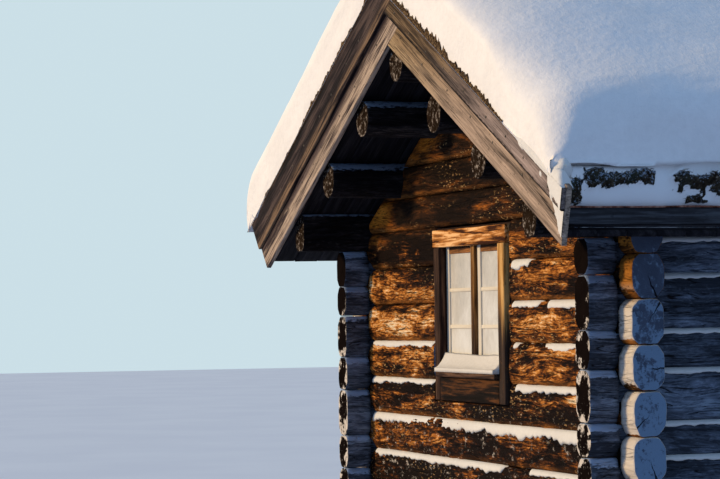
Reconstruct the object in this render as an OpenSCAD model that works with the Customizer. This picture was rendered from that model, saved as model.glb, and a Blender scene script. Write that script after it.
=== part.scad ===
// Small notched-log cabin with a turf roof under a winter load of snow.
// The ridge runs along Y and the window gable faces -Y. The origin is on the ground, at the
// centre of the plan. Lengths are in millimetres.

/* [Walls] */
// Outside width of the gable walls
wall_w = 3640; // [3300:10:4200]
// Outside length of the side walls
wall_l = 4400; // [3800:10:5600]
// Thickness of a hewn wall log
log_t = 164; // [145:1:185]
// Height of one course of wall logs
course_h = 210; // [195:1:225]
// Number of full courses in a gable wall
courses = 9; // [9:1:11]
// Depth of the hewn corner bevel, measured into the face of a log
bevel_in = 32; // [20:1:40]
// Height of the hewn corner bevel on the face of a log
bevel_up = 50; // [36:1:60]
// Length of the log ends past a corner
log_tail = 145; // [110:1:190]
// Depth of the neck cut on each side of a log where it crosses another
neck_in = 16; // [8:1:26]
// Greatest shift of a side wall's joint from its even place: hand-hewn logs differ in height
joint_wander = 44; // [0:1:50]
// Gap between one log and the next
seam = 0.4; // [0.2:0.1:0.8]

/* [Gables] */
// Height of one course in the gable triangle
gable_course_h = 180; // [160:1:200]
// Slope-wise width of the hewn bevel along the gable's raking edge
rake_bevel_w = 75; // [40:1:100]
// Depth of that bevel at the rake
rake_bevel_in = 55; // [30:1:80]
// Gap between the raking ends of the gable logs and the roof boards
rake_gap = 4; // [2:0.5:8]

/* [Footing and floor] */
// Height of the stone footing
foot_h = 160; // [120:5:260]
// Width of the stone footing
foot_w = 300; // [260:5:400]
// Height of the floor joists
joist_h = 140; // [110:1:160]
// Width of the floor joists
joist_w = 120; // [90:1:160]
// Number of floor joists
joists = 6; // [4:1:8]
// Thickness of the floor boards
floor_t = 32; // [25:1:40]

/* [Roof] */
// Slope of the roof in degrees
roof_angle = 26.7; // [24:0.1:30]
// Height of the roof boards over the full courses, at the outer face of the side walls
plate_rise = 53; // [45:1:80]
// Reach of the roof past the side walls
eave_reach = 400; // [320:5:480]
// Reach of the roof past the gable walls, to the back of the bargeboards
gable_reach = 430; // [350:5:520]
// Diameter of the purlin logs
purlin_d = 200; // [180:1:220]
// Depth of the flat seat hewn on top of a purlin
purlin_seat = 8; // [5:1:12]
// Distance of the purlins' ends behind the bargeboards
purlin_inset = 17; // [0:1:25]
// Distance of the wall plates' ends behind the bargeboards
plate_inset = 30; // [0:1:60]
// Drop of the ridge purlin below the roof boards
ridge_drop = 26; // [0:1:40]
// Drop of the right upper purlin
upper_drop = 58; // [0:1:70]
// Drop of the right lower purlin
lower_drop = 20; // [0:1:40]
// Distance of the lower purlins from the middle
lower_purlin_x = 1150; // [1050:5:1250]
// Distance of the upper purlins from the middle
upper_purlin_x = 550; // [480:5:620]
// Thickness of the roof boards
board_t = 28; // [22:1:34]
// Thickness of the birch bark sheets
bark_t = 8; // [6:1:12]
// Thickness of the turf
turf_t = 245; // [200:5:280]
// Thickness of the snow
snow_t = 370; // [320:5:420]
// Radius of the snow's rolled edge at the eaves
snow_roll_r = 190; // [150:5:210]
// Radius of the snow over the ridge
snow_ridge_r = 500; // [300:10:700]
// Reach of the snow past the turf board
snow_reach = 50; // [30:5:80]
// Reach of the lip of snow that hangs over at one end of each eave
lip_reach = 350; // [250:5:400]
// Angle at which that lip swings out along the eave
lip_angle = 4.9; // [4:0.1:7]
// Height of the bevel on the snow's gable edges, square to the slope
snow_bevel_h = 110; // [60:5:160]
// Depth of that bevel
snow_bevel_in = 70; // [40:5:110]

/* [Edge boards] */
// Thickness of the turf board along an eave
eave_board_t = 30; // [24:1:40]
// Height of the turf board at its outer face
eave_board_h = 102; // [70:1:120]
// Thickness of a lower bargeboard
lower_barge_t = 27; // [22:1:34]
// Width of a lower bargeboard
lower_barge_w = 264; // [240:1:290]
// Drop of the lower bargeboard's edge below the roof boards
lower_barge_drop = 29.5; // [20:0.5:45]
// Thickness of an upper bargeboard
upper_barge_t = 25; // [20:1:32]
// Width of the left upper bargeboard
left_upper_barge_w = 205; // [170:1:215]
// Width of the right upper bargeboard
right_upper_barge_w = 100; // [90:1:215]
// Height of the upper bargeboard's lower edge over the underside of the roof boards
upper_barge_lift = 121.5; // [100:0.5:140]
// Reach of the bargeboards past the eave at their lowest corner
barge_reach = 10; // [0:1:30]
// Slant of the bargeboards' ends on the left: the reach gained with each unit of height
left_slant = 0.7; // [0.5:0.05:0.8]
// The same slant on the right
right_slant = 0.27; // [0.1:0.01:0.5]

/* [Window] */
// Offset of the window from the middle of the gable
window_x = -38; // [-60:1:60]
// Number of whole courses below the window
window_course = 4; // [3:1:4]
// Width of the window opening between the log ends
window_w = 1090; // [980:2:1200]
// Height of the window's lower edge over the joint below it
window_rise = 95; // [90:1:115]
// Height from the window's lower edge to the underside of the sill
apron_h = 138; // [110:1:160]
// Width of the side casings
casing_w = 80; // [70:1:110]
// Height of the lintel board
lintel_h = 95; // [80:1:110]
// Length of the lintel board past the casings, each side
lintel_ear = 26; // [10:1:28]
// Gap between the casings and the log ends, each side
casing_gap = 42; // [28:1:45]
// Stand-off of the casings before the log faces
casing_proud = 12; // [6:1:20]
// Thickness of the casing boards
casing_t = 36; // [16:1:40]
// Gap between the window frame and the log ends
frame_gap = 10; // [5:1:15]
// Depth of the window frame
frame_d = 120; // [90:1:130]
// Cover of the casings over the casements
casing_lap = 9; // [5:1:15]
// Thickness of the casements
sash_t = 36; // [30:1:42]
// Width of the casements' stiles and rails
sash_w = 45; // [36:1:55]
// Width of the mullion between the casements
mullion_w = 52; // [40:1:64]
// Stand-off of the mullion before the casements
mullion_proud = 8; // [4:1:12]
// Thickness of the glass
glass_t = 3; // [2:0.5:4]
// Thickness of the sill
sill_t = 27; // [20:1:34]
// Reach of the sill before the casings
sill_reach = 28; // [20:1:40]
// Height of the drifted snow against the glass
drift_h = 105; // [60:1:140]
// Height of the drifted snow at the front of the sill
drift_lip = 26; // [15:1:40]

/* [Door] */
// Width of the door opening between the log ends
door_w = 900; // [820:2:1000]
// Width of the door's posts and head
door_post_w = 50; // [40:1:60]
// Thickness of the plank leaf
leaf_t = 38; // [30:1:50]
// Gap between the leaf and its frame
leaf_gap = 3; // [2:0.5:5]
// Width of the door casings
door_casing_w = 110; // [90:1:130]
// Thickness of the door casings
door_casing_t = 24; // [18:1:30]
// Height of the threshold
threshold_h = 42; // [30:1:60]
// Length of the pull handle
handle_l = 220; // [160:5:280]
// Length of the strap hinges
strap_l = 560; // [400:10:640]
// Height of the strap hinges' iron
strap_w = 44; // [30:1:56]
// Thickness of the strap hinges' iron
strap_t = 6; // [4:1:8]

/* [Hidden] */
fit = 0.3;
far = 20000;
// Shares of the joints' shift in the two side walls, from the lowest joint up
left_wander = [0, 0.3, -0.3, -0.69, 0.67, 0.25, 1, 0.13, 0.1];
right_wander = [0, -0.4, 0.4, 0.2, -0.98, -0.18, -0.82, 0.24, -0.62];
corner_steps = 2;
roll_steps = 8;
round_fn = 48;
half_w = wall_w / 2;
half_l = wall_l / 2;
side_x = half_w - log_t / 2;
gable_y = half_l - log_t / 2;
neck_t = log_t - 2 * neck_in;
quarter = course_h / 4;
max_wander = min(joint_wander, quarter - neck_in / 2);
wall_top = foot_h + courses * course_h;
tan_a = tan(roof_angle);
cos_a = cos(roof_angle);
apex_z = wall_top + plate_rise + half_w * tan_a;
eave_x = half_w + eave_reach;
turf_x = eave_x - eave_board_t;
roof_y = half_l + gable_reach;
turf_v = board_t + bark_t;
snow_v = turf_v + turf_t;
top_v = snow_v + snow_t;
eave_top = under(eave_x) + board_t / cos_a + eave_board_h;
turf_bulge = 15;
turf_in = 110;
turf_lip_z = eave_top + turf_t * 0.6;
barge_y = roof_y + lower_barge_t;
snow_y = barge_y + upper_barge_t;
left_barge_top = upper_barge_lift + left_upper_barge_w;
right_barge_top = upper_barge_lift + right_upper_barge_w;
casing_y = half_l + casing_proud;
frame_y = casing_y - casing_t - fit;
window_z = foot_h + window_course * course_h + window_rise;
window_top = wall_top;
sill_z = window_z + apron_h;
casing_x = window_w / 2 - casing_gap;
casing_in = casing_x - casing_w;
sash_x = casing_in + casing_lap;
lintel_z = window_top - frame_gap * 2 - lintel_h;
sash_top = lintel_z + casing_lap;
glass_y = frame_y - sash_t / 2;
door_z = foot_h + course_h;
door_x = door_w / 2 - frame_gap;
leaf_x = door_x - door_post_w;
head_z = wall_top - frame_gap - door_post_w;
leaf_z = door_z + threshold_h;

// Height of the underside of the roof boards at a distance from the middle
function under(x) = apex_z - abs(x) * tan_a;

// A point at distance x from the middle and v above the underside, square to the slope
function on_roof(x, v) = [x, under(x) + v / cos_a];

// The same on the line of the right slope, which goes on rising past the ridge
function on_line(x, v) = [x, apex_z - x * tan_a + v / cos_a];

// Where the end of a bargeboard at the eave lies at height v over the roof boards' underside
function barge_end(v, slant) = eave_x + barge_reach + slant * (v + lower_barge_drop);

// Distance from the middle at which one slope's line lies w above the other's, square to them
function past_ridge(w) = w / (2 * sin(roof_angle));

// Height of a joint in a side wall; joint 0 lies on the half log
function joint_z(wander, j) =
    foot_h + course_h * (j + 0.5) + max_wander * wander[min(j, len(wander) - 1)];

// Outline of a hewn log with rounded bevels, centred across and standing on zero
function log_outline(w, h, cut_in, cut_up) = [
    for (c = [[1, 1, 0], [-1, 1, 90], [-1, -1, 180], [1, -1, 270]])
        for (i = [0:corner_steps])
            let (a = c[2] + 90 * i / corner_steps)
            [c[0] * (w / 2 - cut_in) + cut_in * cos(a),
             h / 2 + c[1] * (h / 2 - cut_up) + cut_up * sin(a)]
];

// Mirrors its children to the left side when s is -1
module on_side(s) {
    mirror([s < 0 ? 1 : 0, 0, 0]) children();
}

// Turns its children to the back gable when s is 1
module on_gable(s) {
    mirror([0, s > 0 ? 1 : 0, 0]) children();
}

// An outline drawn in X and Z, pushed out along Y
module along_y(y0, y1) {
    translate([0, y1, 0]) rotate([90, 0, 0]) linear_extrude(y1 - y0) children();
}

// An outline drawn in Y and Z, pushed out along X
module along_x(x0, x1) {
    translate([x0, 0, 0]) rotate([90, 0, 90]) linear_extrude(x1 - x0) children();
}

// A box between two corners
module block(lo, hi) {
    translate(lo) cube(hi - lo);
}

// Everything above the underside of both roof slopes, lowered by a gap
module above_roof(gap) {
    along_y(-far / 2, far / 2) polygon([
        [0, apex_z - gap / cos_a],
        [far / 2, apex_z - gap / cos_a - far / 2 * tan_a],
        [far / 2, far],
        [-far / 2, far],
        [-far / 2, apex_z - gap / cos_a - far / 2 * tan_a]
    ]);
}

// The corner notches of a gable wall's log, which lies along X with its lower face at z.
// The crossing log's neck drops into the top notch and rises into the bottom one, and the
// sides are hewn in to a neck, so that neither log can slide.
module corner_cuts_x(z, h) {
    for (s = [-1, 1]) {
        x = s * side_x;
        block([x - neck_t / 2 - fit, -far / 2, z + h - quarter - seam / 2],
              [x + neck_t / 2 + fit, far / 2, z + h + 1]);
        block([x - neck_t / 2 - fit, -far / 2, z - 1],
              [x + neck_t / 2 + fit, far / 2, z + quarter + seam / 2]);
        for (g = [-1, 1])
            for (t = [-1, 1])
                translate([x, g * gable_y + t * (neck_t / 2 + log_t / 2), z + h / 2])
                    cube([log_t + 2 * fit, log_t, h + 2], center = true);
    }
}

// The same cuts for the side wall's log k, which lies along Y from z0 to z1. The half log is -1.
// The notches meet the gable logs' even courses, wherever the joints of the side wall lie.
module corner_cuts_y(z0, z1, k) {
    for (g = [-1, 1]) {
        y = g * gable_y;
        block([-far / 2, y - neck_t / 2 - fit, foot_h + course_h * (k + 1.25) - seam / 2],
              [far / 2, y + neck_t / 2 + fit, z1 + 1]);
        if (k >= 0)
            block([-far / 2, y - neck_t / 2 - fit, z0 - 1],
                  [far / 2, y + neck_t / 2 + fit, foot_h + course_h * (k + 0.75) + seam * 1.5]);
        for (s = [-1, 1])
            for (t = [-1, 1])
                translate([s * side_x + t * (neck_t / 2 + log_t / 2), y, (z0 + z1) / 2])
                    cube([log_t, log_t + 2 * fit, z1 - z0 + 2], center = true);
    }
}

// The full courses of a gable wall
module gable_wall_logs(y) {
    reach = half_w + log_tail;
    for (k = [0:courses - 1]) {
        z = foot_h + k * course_h + seam;
        h = course_h - seam;
        difference() {
            along_x(-reach, reach) translate([y, z])
                polygon(log_outline(log_t, h, bevel_in, bevel_up));
            corner_cuts_x(z, h);
            above_roof(rake_gap);
        }
    }
}

// The courses of a side wall, set half a course higher on a half log
module side_wall_logs(x, wander) {
    reach = half_l + log_tail;
    for (k = [-1:courses - 2]) {
        z0 = (k < 0 ? foot_h : joint_z(wander, k)) + seam;
        z1 = joint_z(wander, k + 1);
        up = k < 0 ? bevel_up * 0.8 : bevel_up;
        difference() {
            along_y(-reach, reach) translate([x, z0])
                polygon(log_outline(log_t, z1 - z0, bevel_in, up));
            corner_cuts_y(z0, z1, k);
        }
    }
}

// The bevel hewn along both raking edges on the outside of the front gable
module rake_bevel() {
    for (s = [-1, 1])
        on_side(s) translate([0, 0, apex_z]) rotate([0, roof_angle, 0])
            along_x(-half_w / 2, far / 2) polygon([
                [-half_l - 1, -rake_bevel_w],
                [-half_l, -rake_bevel_w],
                [-half_l + rake_bevel_in, 1],
                [-half_l - 1, 1]
            ]);
}

// Drop of the purlin at x: the logs are crooked, and those on the right lie deeper
function purlin_drop(x) =
    x == 0 ? ridge_drop : x == upper_purlin_x ? upper_drop : x == lower_purlin_x ? lower_drop : 0;

// One purlin log at a distance from the middle, with its seat hewn to the slope
module purlin(x, grow = 0) {
    r = purlin_d / 2;
    reach = roof_y - purlin_inset + grow;
    difference() {
        translate([x, 0, under(x) - purlin_drop(x) - (r - purlin_seat) / cos_a]) rotate([90, 0, 0])
            cylinder(r = r + grow, h = 2 * reach, center = true, $fn = round_fn);
        above_roof(fit - grow);
    }
}

// The logs of the front gable triangle, notched round the purlins and the wall plates
module gable_triangle_logs() {
    rows = floor((apex_z - wall_top) / gable_course_h);
    inner = half_w - log_t - fit;
    for (k = [0:rows - 1]) {
        z = wall_top + k * gable_course_h + seam;
        difference() {
            along_x(-inner, inner) translate([-gable_y, z])
                polygon(log_outline(log_t, gable_course_h - seam, bevel_in, bevel_up * 0.85));
            above_roof(rake_gap);
            rake_bevel();
            for (x = [-lower_purlin_x, -upper_purlin_x, 0, upper_purlin_x, lower_purlin_x])
                purlin(x, fit);
        }
    }
}

// The stone footing as a closed ring under the walls
module foundation() {
    color("dimgray") difference() {
        block([-side_x - foot_w / 2, -gable_y - foot_w / 2, 0],
              [side_x + foot_w / 2, gable_y + foot_w / 2, foot_h]);
        block([-side_x + foot_w / 2, -gable_y + foot_w / 2, -1],
              [side_x - foot_w / 2, gable_y - foot_w / 2, foot_h + 1]);
    }
}

module floor_joists() {
    x = half_w - log_t - fit;
    pitch = (wall_l - 2 * log_t - 2 * joist_w) / (joists - 1);
    color("burlywood") for (i = [0:joists - 1]) {
        y = -half_l + log_t + joist_w + i * pitch;
        block([-x, y - joist_w / 2, foot_h + fit], [x, y + joist_w / 2, foot_h + joist_h]);
    }
}

module floor() {
    x = half_w - log_t - fit;
    y = half_l - log_t - fit;
    z = foot_h + joist_h + fit;
    color("peru") block([-x, -y, z], [x, y, z + floor_t]);
}

module front_wall() {
    color("sienna") difference() {
        gable_wall_logs(-gable_y);
        block([window_x - window_w / 2, -far / 2, window_z],
              [window_x + window_w / 2, 0, window_top + 1]);
    }
}

module back_wall() {
    color("sienna") difference() {
        gable_wall_logs(gable_y);
        block([-door_w / 2, 0, door_z], [door_w / 2, far / 2, wall_top + 1]);
    }
}

module left_wall() {
    color("dimgray") side_wall_logs(-side_x, left_wander);
}

module right_wall() {
    color("dimgray") side_wall_logs(side_x, right_wander);
}

module front_gable() {
    color("sienna") gable_triangle_logs();
}

module back_gable() {
    color("sienna") on_gable(1) gable_triangle_logs();
}

// A wall plate: the top log of a side wall, hewn to the slope and run out to the bargeboards
module wall_plate(wander) {
    reach = roof_y - plate_inset;
    z = joint_z(wander, courses - 1) + seam;
    low = log_outline(log_t, 4 * bevel_up, bevel_in, bevel_up);
    bottom = [for (i = [2 * (corner_steps + 1):4 * (corner_steps + 1) - 1]) low[i]];
    difference() {
        translate([side_x, 0, 0]) along_y(-reach, reach) translate([0, z])
            polygon(concat(bottom, [[log_t / 2, course_h * 2], [-log_t / 2, course_h * 2]]));
        above_roof(fit);
        for (g = [-1, 1]) {
            y = g * gable_y;
            block([0, y - neck_t / 2 - fit, z - 1],
                  [far / 2, y + neck_t / 2 + fit, wall_top - quarter + seam * 1.5]);
            for (t = [-1, 1])
                translate([side_x + t * (neck_t / 2 + log_t / 2), y, 0])
                    block([-log_t / 2, -log_t / 2 - fit, z - 1],
                          [log_t / 2, log_t / 2 + fit, wall_top + seam]);
        }
    }
}

module left_wall_plate() {
    color("saddlebrown") on_side(-1) wall_plate(left_wander);
}

module right_wall_plate() {
    color("saddlebrown") wall_plate(right_wander);
}

module left_lower_purlin() {
    color("saddlebrown") purlin(-lower_purlin_x);
}

module right_lower_purlin() {
    color("saddlebrown") purlin(lower_purlin_x);
}

module left_upper_purlin() {
    color("saddlebrown") purlin(-upper_purlin_x);
}

module right_upper_purlin() {
    color("saddlebrown") purlin(upper_purlin_x);
}

module ridge_purlin() {
    color("saddlebrown") purlin(0);
}

// One layer of the roof between two heights over the boards' underside
module roof_layer(v0, v1, x_end) {
    along_y(-roof_y + fit, roof_y - fit) polygon([
        on_roof(fit, v0),
        on_roof(x_end, v0),
        on_roof(x_end, v1),
        on_roof(fit, v1)
    ]);
}

module left_roof_boards() {
    color("tan") on_side(-1) roof_layer(0, board_t, eave_x);
}

module right_roof_boards() {
    color("tan") roof_layer(0, board_t, eave_x);
}

module left_birch_bark() {
    color("rosybrown") on_side(-1)
        roof_layer(board_t + fit, board_t + bark_t, turf_x - fit);
}

module right_birch_bark() {
    color("rosybrown")
        roof_layer(board_t + fit, board_t + bark_t, turf_x - fit);
}

// The outer edge of the turf, from the turf board's top up to the slope, moved out by a gap
function turf_edge(gap) = [
    [turf_x + turf_bulge, eave_top + turf_t / 3],
    [turf_x, turf_lip_z],
    [turf_x - turf_in * 0.4, eave_top + turf_t * 0.8],
    on_roof(turf_x - turf_in, snow_v)
] + [for (i = [0:3]) [gap, gap]];

module turf() {
    x = turf_x - fit;
    along_y(-roof_y + fit, roof_y - fit) polygon(concat(
        [on_roof(fit, turf_v + fit), on_roof(x, turf_v + fit), [x, eave_top]],
        turf_edge(0),
        [on_roof(fit, snow_v)]
    ));
}

module left_turf() {
    color("olive") on_side(-1) turf();
}

module right_turf() {
    color("olive") turf();
}

// Outline of the snow on one slope: level over the turf, rolled at the eave and rounded at the
// ridge. The further it reaches, the more the roll curls in underneath.
function snow_outline(reach) = let (
    out_x = eave_x + reach,
    centre = on_roof(out_x - snow_roll_r, top_v - snow_roll_r),
    first = -reach / 10,
    ridge_z = apex_z + (top_v - snow_ridge_r) / cos_a
) concat(
    [on_roof(fit, snow_v), on_roof(turf_x - turf_in, snow_v),
     [turf_x, turf_lip_z], [out_x - reach * 0.32, turf_lip_z]],
    [for (i = [0:roll_steps]) let (a = first + (90 - roof_angle - first) * i / roll_steps)
        centre + snow_roll_r * [cos(a), sin(a)]],
    [for (i = [0:roll_steps]) let (a = 90 - roof_angle + roof_angle * i / roll_steps)
        [max(fit, snow_ridge_r * cos(a)), ridge_z + snow_ridge_r * sin(a)]]
);

// Everything that the snow of the right slope lies on, grown by a gap: the turf with its edge
// and, past the roof boards, the tops of the bargeboards
module snow_seat() {
    along_y(-far / 2, far / 2) polygon(concat(
        [[fit / 2, 0], [turf_x, 0]], turf_edge(seam), [on_roof(fit / 2, snow_v + seam)]
    ));
    for (e = [[-1, right_barge_top, right_slant, left_barge_top],
              [1, left_barge_top, left_slant, right_barge_top]]) {
        top = e[1] + fit;
        x_end = barge_end(e[1], e[2]) + fit;
        on_gable(e[0]) along_y(-far / 2, -roof_y + fit) polygon([
            [0, 0],
            [x_end, 0],
            on_roof(x_end, top),
            on_roof(max(fit, past_ridge(e[1] - e[3])), top),
            [0, apex_z + (min(e[1], e[3]) + fit) / cos_a]
        ]);
    }
}

// The snow on the right slope, with a lip that swings out towards the back
module roof_snow() {
    difference() {
        union() {
            along_y(-snow_y, snow_y) polygon(snow_outline(snow_reach));
            intersection() {
                translate([eave_x, snow_y, 0]) rotate([0, 0, -lip_angle]) translate([-eave_x, 0, 0])
                    along_y(-2 * snow_y, snow_y / 2) polygon(snow_outline(lip_reach));
                block([eave_x - snow_roll_r, -snow_y, 0], [far / 2, snow_y, far / 2]);
            }
        }
        snow_seat();
        for (g = [-1, 1])
            on_gable(g) translate([0, 0, apex_z]) rotate([0, roof_angle, 0])
                along_x(-far / 2, far / 2) polygon([
                    [-snow_y - 1, top_v - snow_bevel_h],
                    [-snow_y, top_v - snow_bevel_h],
                    [-snow_y + snow_bevel_in, top_v + 1],
                    [-snow_y - 1, top_v + 1]
                ]);
    }
}

module left_roof_snow() {
    color("white") rotate([0, 0, 180]) roof_snow();
}

module right_roof_snow() {
    color("white") roof_snow();
}

// The board on edge along an eave that holds the turf
module eave_board() {
    along_y(-roof_y + fit, roof_y - fit) polygon([
        on_roof(turf_x, board_t + fit),
        on_roof(eave_x, board_t + fit),
        [eave_x, eave_top],
        [turf_x, eave_top]
    ]);
}

module left_eave_board() {
    color("slategray") on_side(-1) eave_board();
}

module right_eave_board() {
    color("slategray") eave_board();
}

// Outline of a bargeboard between heights v0 and v1 over the roof boards' underside, seen on the
// right slope. It starts at x0 below and x1 above, and its end at the eave leans out.
function barge_outline(v0, v1, x0, x1, slant) = [
    on_line(x0, v0),
    on_line(barge_end(v0, slant), v0),
    on_line(barge_end(v1, slant), v1),
    on_line(x1, v1)
];

// A pair of bargeboards on the front gable: the left one runs on past the ridge, and the right
// one is cut to butt against its lower edge
module barge_pair(v0, left_top, right_top, y0, y1) {
    start = past_ridge(right_top - v0);
    gap = fit / sin(roof_angle);
    on_side(-1) along_y(y0, y1)
        polygon(barge_outline(v0, left_top, -start, past_ridge(left_top - right_top), left_slant));
    along_y(y0, y1)
        polygon(barge_outline(v0, right_top, gap, start + gap, right_slant));
}

// The inner pair of bargeboards on the front gable
module lower_bargeboards() {
    top = lower_barge_w - lower_barge_drop;
    barge_pair(-lower_barge_drop, top, top, -barge_y, -roof_y);
}

// The outer pair, lapped over the inner pair
module upper_bargeboards() {
    barge_pair(upper_barge_lift, left_barge_top, right_barge_top, -snow_y, -barge_y - fit);
}

module front_lower_bargeboards() {
    color("gray") lower_bargeboards();
}

module front_upper_bargeboards() {
    color("gray") upper_bargeboards();
}

module back_lower_bargeboards() {
    color("gray") rotate([0, 0, 180]) lower_bargeboards();
}

module back_upper_bargeboards() {
    color("gray") rotate([0, 0, 180]) upper_bargeboards();
}

// The frame set between the log ends of the window opening
module window_frame() {
    x = window_w / 2 - frame_gap;
    color("saddlebrown") translate([window_x, 0, 0]) difference() {
        block([-x, -frame_y, window_z + fit], [x, -frame_y + frame_d, window_top - frame_gap]);
        block([-sash_x, -far / 2, sill_z], [sash_x, 0, sash_top]);
    }
}

// The lintel board, the side casings and the apron board
module window_casing() {
    color("chocolate") translate([window_x, 0, 0]) {
        block([-casing_x - lintel_ear, -casing_y, lintel_z],
              [casing_x + lintel_ear, -casing_y + casing_t, lintel_z + lintel_h]);
        for (s = [-1, 1])
            on_side(s) block([casing_in, -casing_y, window_z + frame_gap],
                             [casing_x, -casing_y + casing_t, lintel_z - fit]);
        block([-casing_in + fit, -casing_y, window_z + frame_gap],
              [casing_in - fit, -casing_y + casing_t, sill_z - fit]);
    }
}

module window_mullion() {
    color("saddlebrown") translate([window_x, 0, 0])
        block([-mullion_w / 2, -frame_y - mullion_proud, sill_z + sill_t + fit],
              [mullion_w / 2, -frame_y + sash_t, sash_top - fit]);
}

// One casement frame on the right of the mullion
module casement() {
    x0 = mullion_w / 2 + fit;
    x1 = sash_x - fit;
    z0 = sill_z + sill_t + fit;
    z1 = sash_top - fit;
    difference() {
        block([x0, -frame_y, z0], [x1, -frame_y + sash_t, z1]);
        block([x0 + sash_w, -far / 2, z0 + sash_w], [x1 - sash_w, 0, z1 - sash_w]);
    }
}

module left_casement() {
    color("wheat") translate([window_x, 0, 0]) on_side(-1) casement();
}

module right_casement() {
    color("wheat") translate([window_x, 0, 0]) casement();
}

module window_glass() {
    x0 = mullion_w / 2 + sash_w + 2 * fit;
    x1 = sash_x - sash_w - 2 * fit;
    z0 = sill_z + sill_t + sash_w + 2 * fit;
    z1 = sash_top - sash_w - 2 * fit;
    color("lightcyan") translate([window_x, 0, 0])
        for (s = [-1, 1])
            on_side(s) block([x0, -glass_y, z0], [x1, -glass_y + glass_t, z1]);
}

module window_sill() {
    color("saddlebrown") translate([window_x, 0, 0])
        block([-casing_in + fit, -casing_y - sill_reach, sill_z],
              [casing_in - fit, -frame_y + sash_t, sill_z + sill_t]);
}

// Drifted snow on the sill: a low lip in front, swept up against the glass
module sill_snow() {
    x = casing_in - fit;
    z = sill_z + sill_t + fit;
    front = -casing_y - sill_reach - 6;
    back = -frame_y - fit - mullion_proud;
    steps = 6;
    color("white") translate([window_x, 0, 0]) along_x(-x, x) polygon(concat(
        [[front, z], [front, z + drift_lip]],
        [for (i = [1:steps]) let (t = i / steps)
            [front + (back - front) * t, z + drift_lip + (drift_h - drift_lip) * pow(t, 1.6)]],
        [[back, z]]
    ));
}

// The posts and the head of the door, the depth of the wall
module door_frame() {
    color("saddlebrown") difference() {
        block([-door_x, half_l - log_t, door_z + fit], [door_x, half_l, wall_top - frame_gap]);
        block([-leaf_x, 0, door_z - 1], [leaf_x, far / 2, head_z]);
    }
}

module door_casing() {
    x0 = leaf_x + leaf_gap;
    x1 = x0 + door_casing_w;
    z = head_z + leaf_gap;
    y = half_l + fit;
    color("chocolate") {
        for (s = [-1, 1])
            on_side(s) block([x0, y, door_z + fit], [x1, y + door_casing_t, z - fit]);
        block([-x1 - lintel_ear, y, z], [x1 + lintel_ear, y + door_casing_t, z + lintel_h]);
    }
}

module door_threshold() {
    x = leaf_x - fit;
    color("saddlebrown") block([-x, half_l - log_t, door_z + fit],
                               [x, half_l + door_casing_t, leaf_z]);
}

module door_leaf() {
    x = leaf_x - leaf_gap;
    color("peru") block([-x, half_l - leaf_t, leaf_z + fit], [x, half_l, head_z - leaf_gap]);
}

module door_hinges() {
    x = -leaf_x + leaf_gap;
    z_range = head_z - leaf_z;
    color("black") for (t = [0.16, 0.84])
        translate([x, half_l + fit, leaf_z + t * z_range - strap_w / 2])
            rotate([90, 0, 0]) mirror([0, 0, 1]) linear_extrude(strap_t) polygon([
                [0, 0],
                [strap_l - strap_w, strap_w * 0.2],
                [strap_l, strap_w / 2],
                [strap_l - strap_w, strap_w * 0.8],
                [0, strap_w]
            ]);
}

// A pull handle whittled from one piece: a grip on two feet
module door_handle() {
    grip_t = 26;
    finger = 40;
    foot = 34;
    x = leaf_x - leaf_gap - 90;
    z = leaf_z + (head_z - leaf_z) * 0.52 - handle_l / 2;
    color("saddlebrown") translate([x - grip_t / 2, half_l + fit, z]) along_x(0, grip_t)
        polygon([
            [0, 0],
            [finger * 0.7, foot * 0.4],
            [finger + grip_t, foot * 1.4],
            [finger + grip_t, handle_l - foot * 1.4],
            [finger * 0.7, handle_l - foot * 0.4],
            [0, handle_l],
            [0, handle_l - foot],
            [finger, handle_l - foot * 1.5],
            [finger, foot * 1.5],
            [0, foot]
        ]);
}

foundation();
floor_joists();
floor();
front_wall();
back_wall();
left_wall();
right_wall();
front_gable();
back_gable();
left_wall_plate();
right_wall_plate();
left_lower_purlin();
right_lower_purlin();
left_upper_purlin();
right_upper_purlin();
ridge_purlin();
left_roof_boards();
right_roof_boards();
left_birch_bark();
right_birch_bark();
left_turf();
right_turf();
left_roof_snow();
right_roof_snow();
left_eave_board();
right_eave_board();
front_lower_bargeboards();
front_upper_bargeboards();
back_lower_bargeboards();
back_upper_bargeboards();
window_frame();
window_casing();
window_mullion();
left_casement();
right_casement();
window_glass();
window_sill();
sill_snow();
door_frame();
door_casing();
door_threshold();
door_leaf();
door_hinges();
door_handle();
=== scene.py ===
import functools
import math

import bpy
import numpy as np
from mathutils import Matrix, Vector


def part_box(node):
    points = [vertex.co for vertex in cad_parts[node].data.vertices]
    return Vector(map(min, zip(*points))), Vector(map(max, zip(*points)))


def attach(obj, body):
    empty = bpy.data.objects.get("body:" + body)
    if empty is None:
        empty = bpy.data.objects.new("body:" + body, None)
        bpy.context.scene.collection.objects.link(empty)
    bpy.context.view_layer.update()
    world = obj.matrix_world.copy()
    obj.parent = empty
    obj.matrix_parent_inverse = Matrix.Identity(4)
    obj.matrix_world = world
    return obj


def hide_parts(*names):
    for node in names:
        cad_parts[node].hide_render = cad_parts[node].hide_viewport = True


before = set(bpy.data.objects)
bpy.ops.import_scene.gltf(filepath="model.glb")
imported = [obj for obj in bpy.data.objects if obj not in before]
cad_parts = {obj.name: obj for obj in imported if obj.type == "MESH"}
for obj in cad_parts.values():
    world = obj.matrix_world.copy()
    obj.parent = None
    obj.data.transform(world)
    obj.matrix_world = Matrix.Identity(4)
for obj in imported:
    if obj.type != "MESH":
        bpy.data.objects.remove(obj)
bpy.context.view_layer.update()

# Places and sizes read from the frame, in metres
WALL_LO, WALL_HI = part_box("front_wall")
SIDE_LO, SIDE_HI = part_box("right_wall")
BOARDS_LO, BOARDS_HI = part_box("right_roof_boards")
CASING_LO, CASING_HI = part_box("window_casing")
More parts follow.
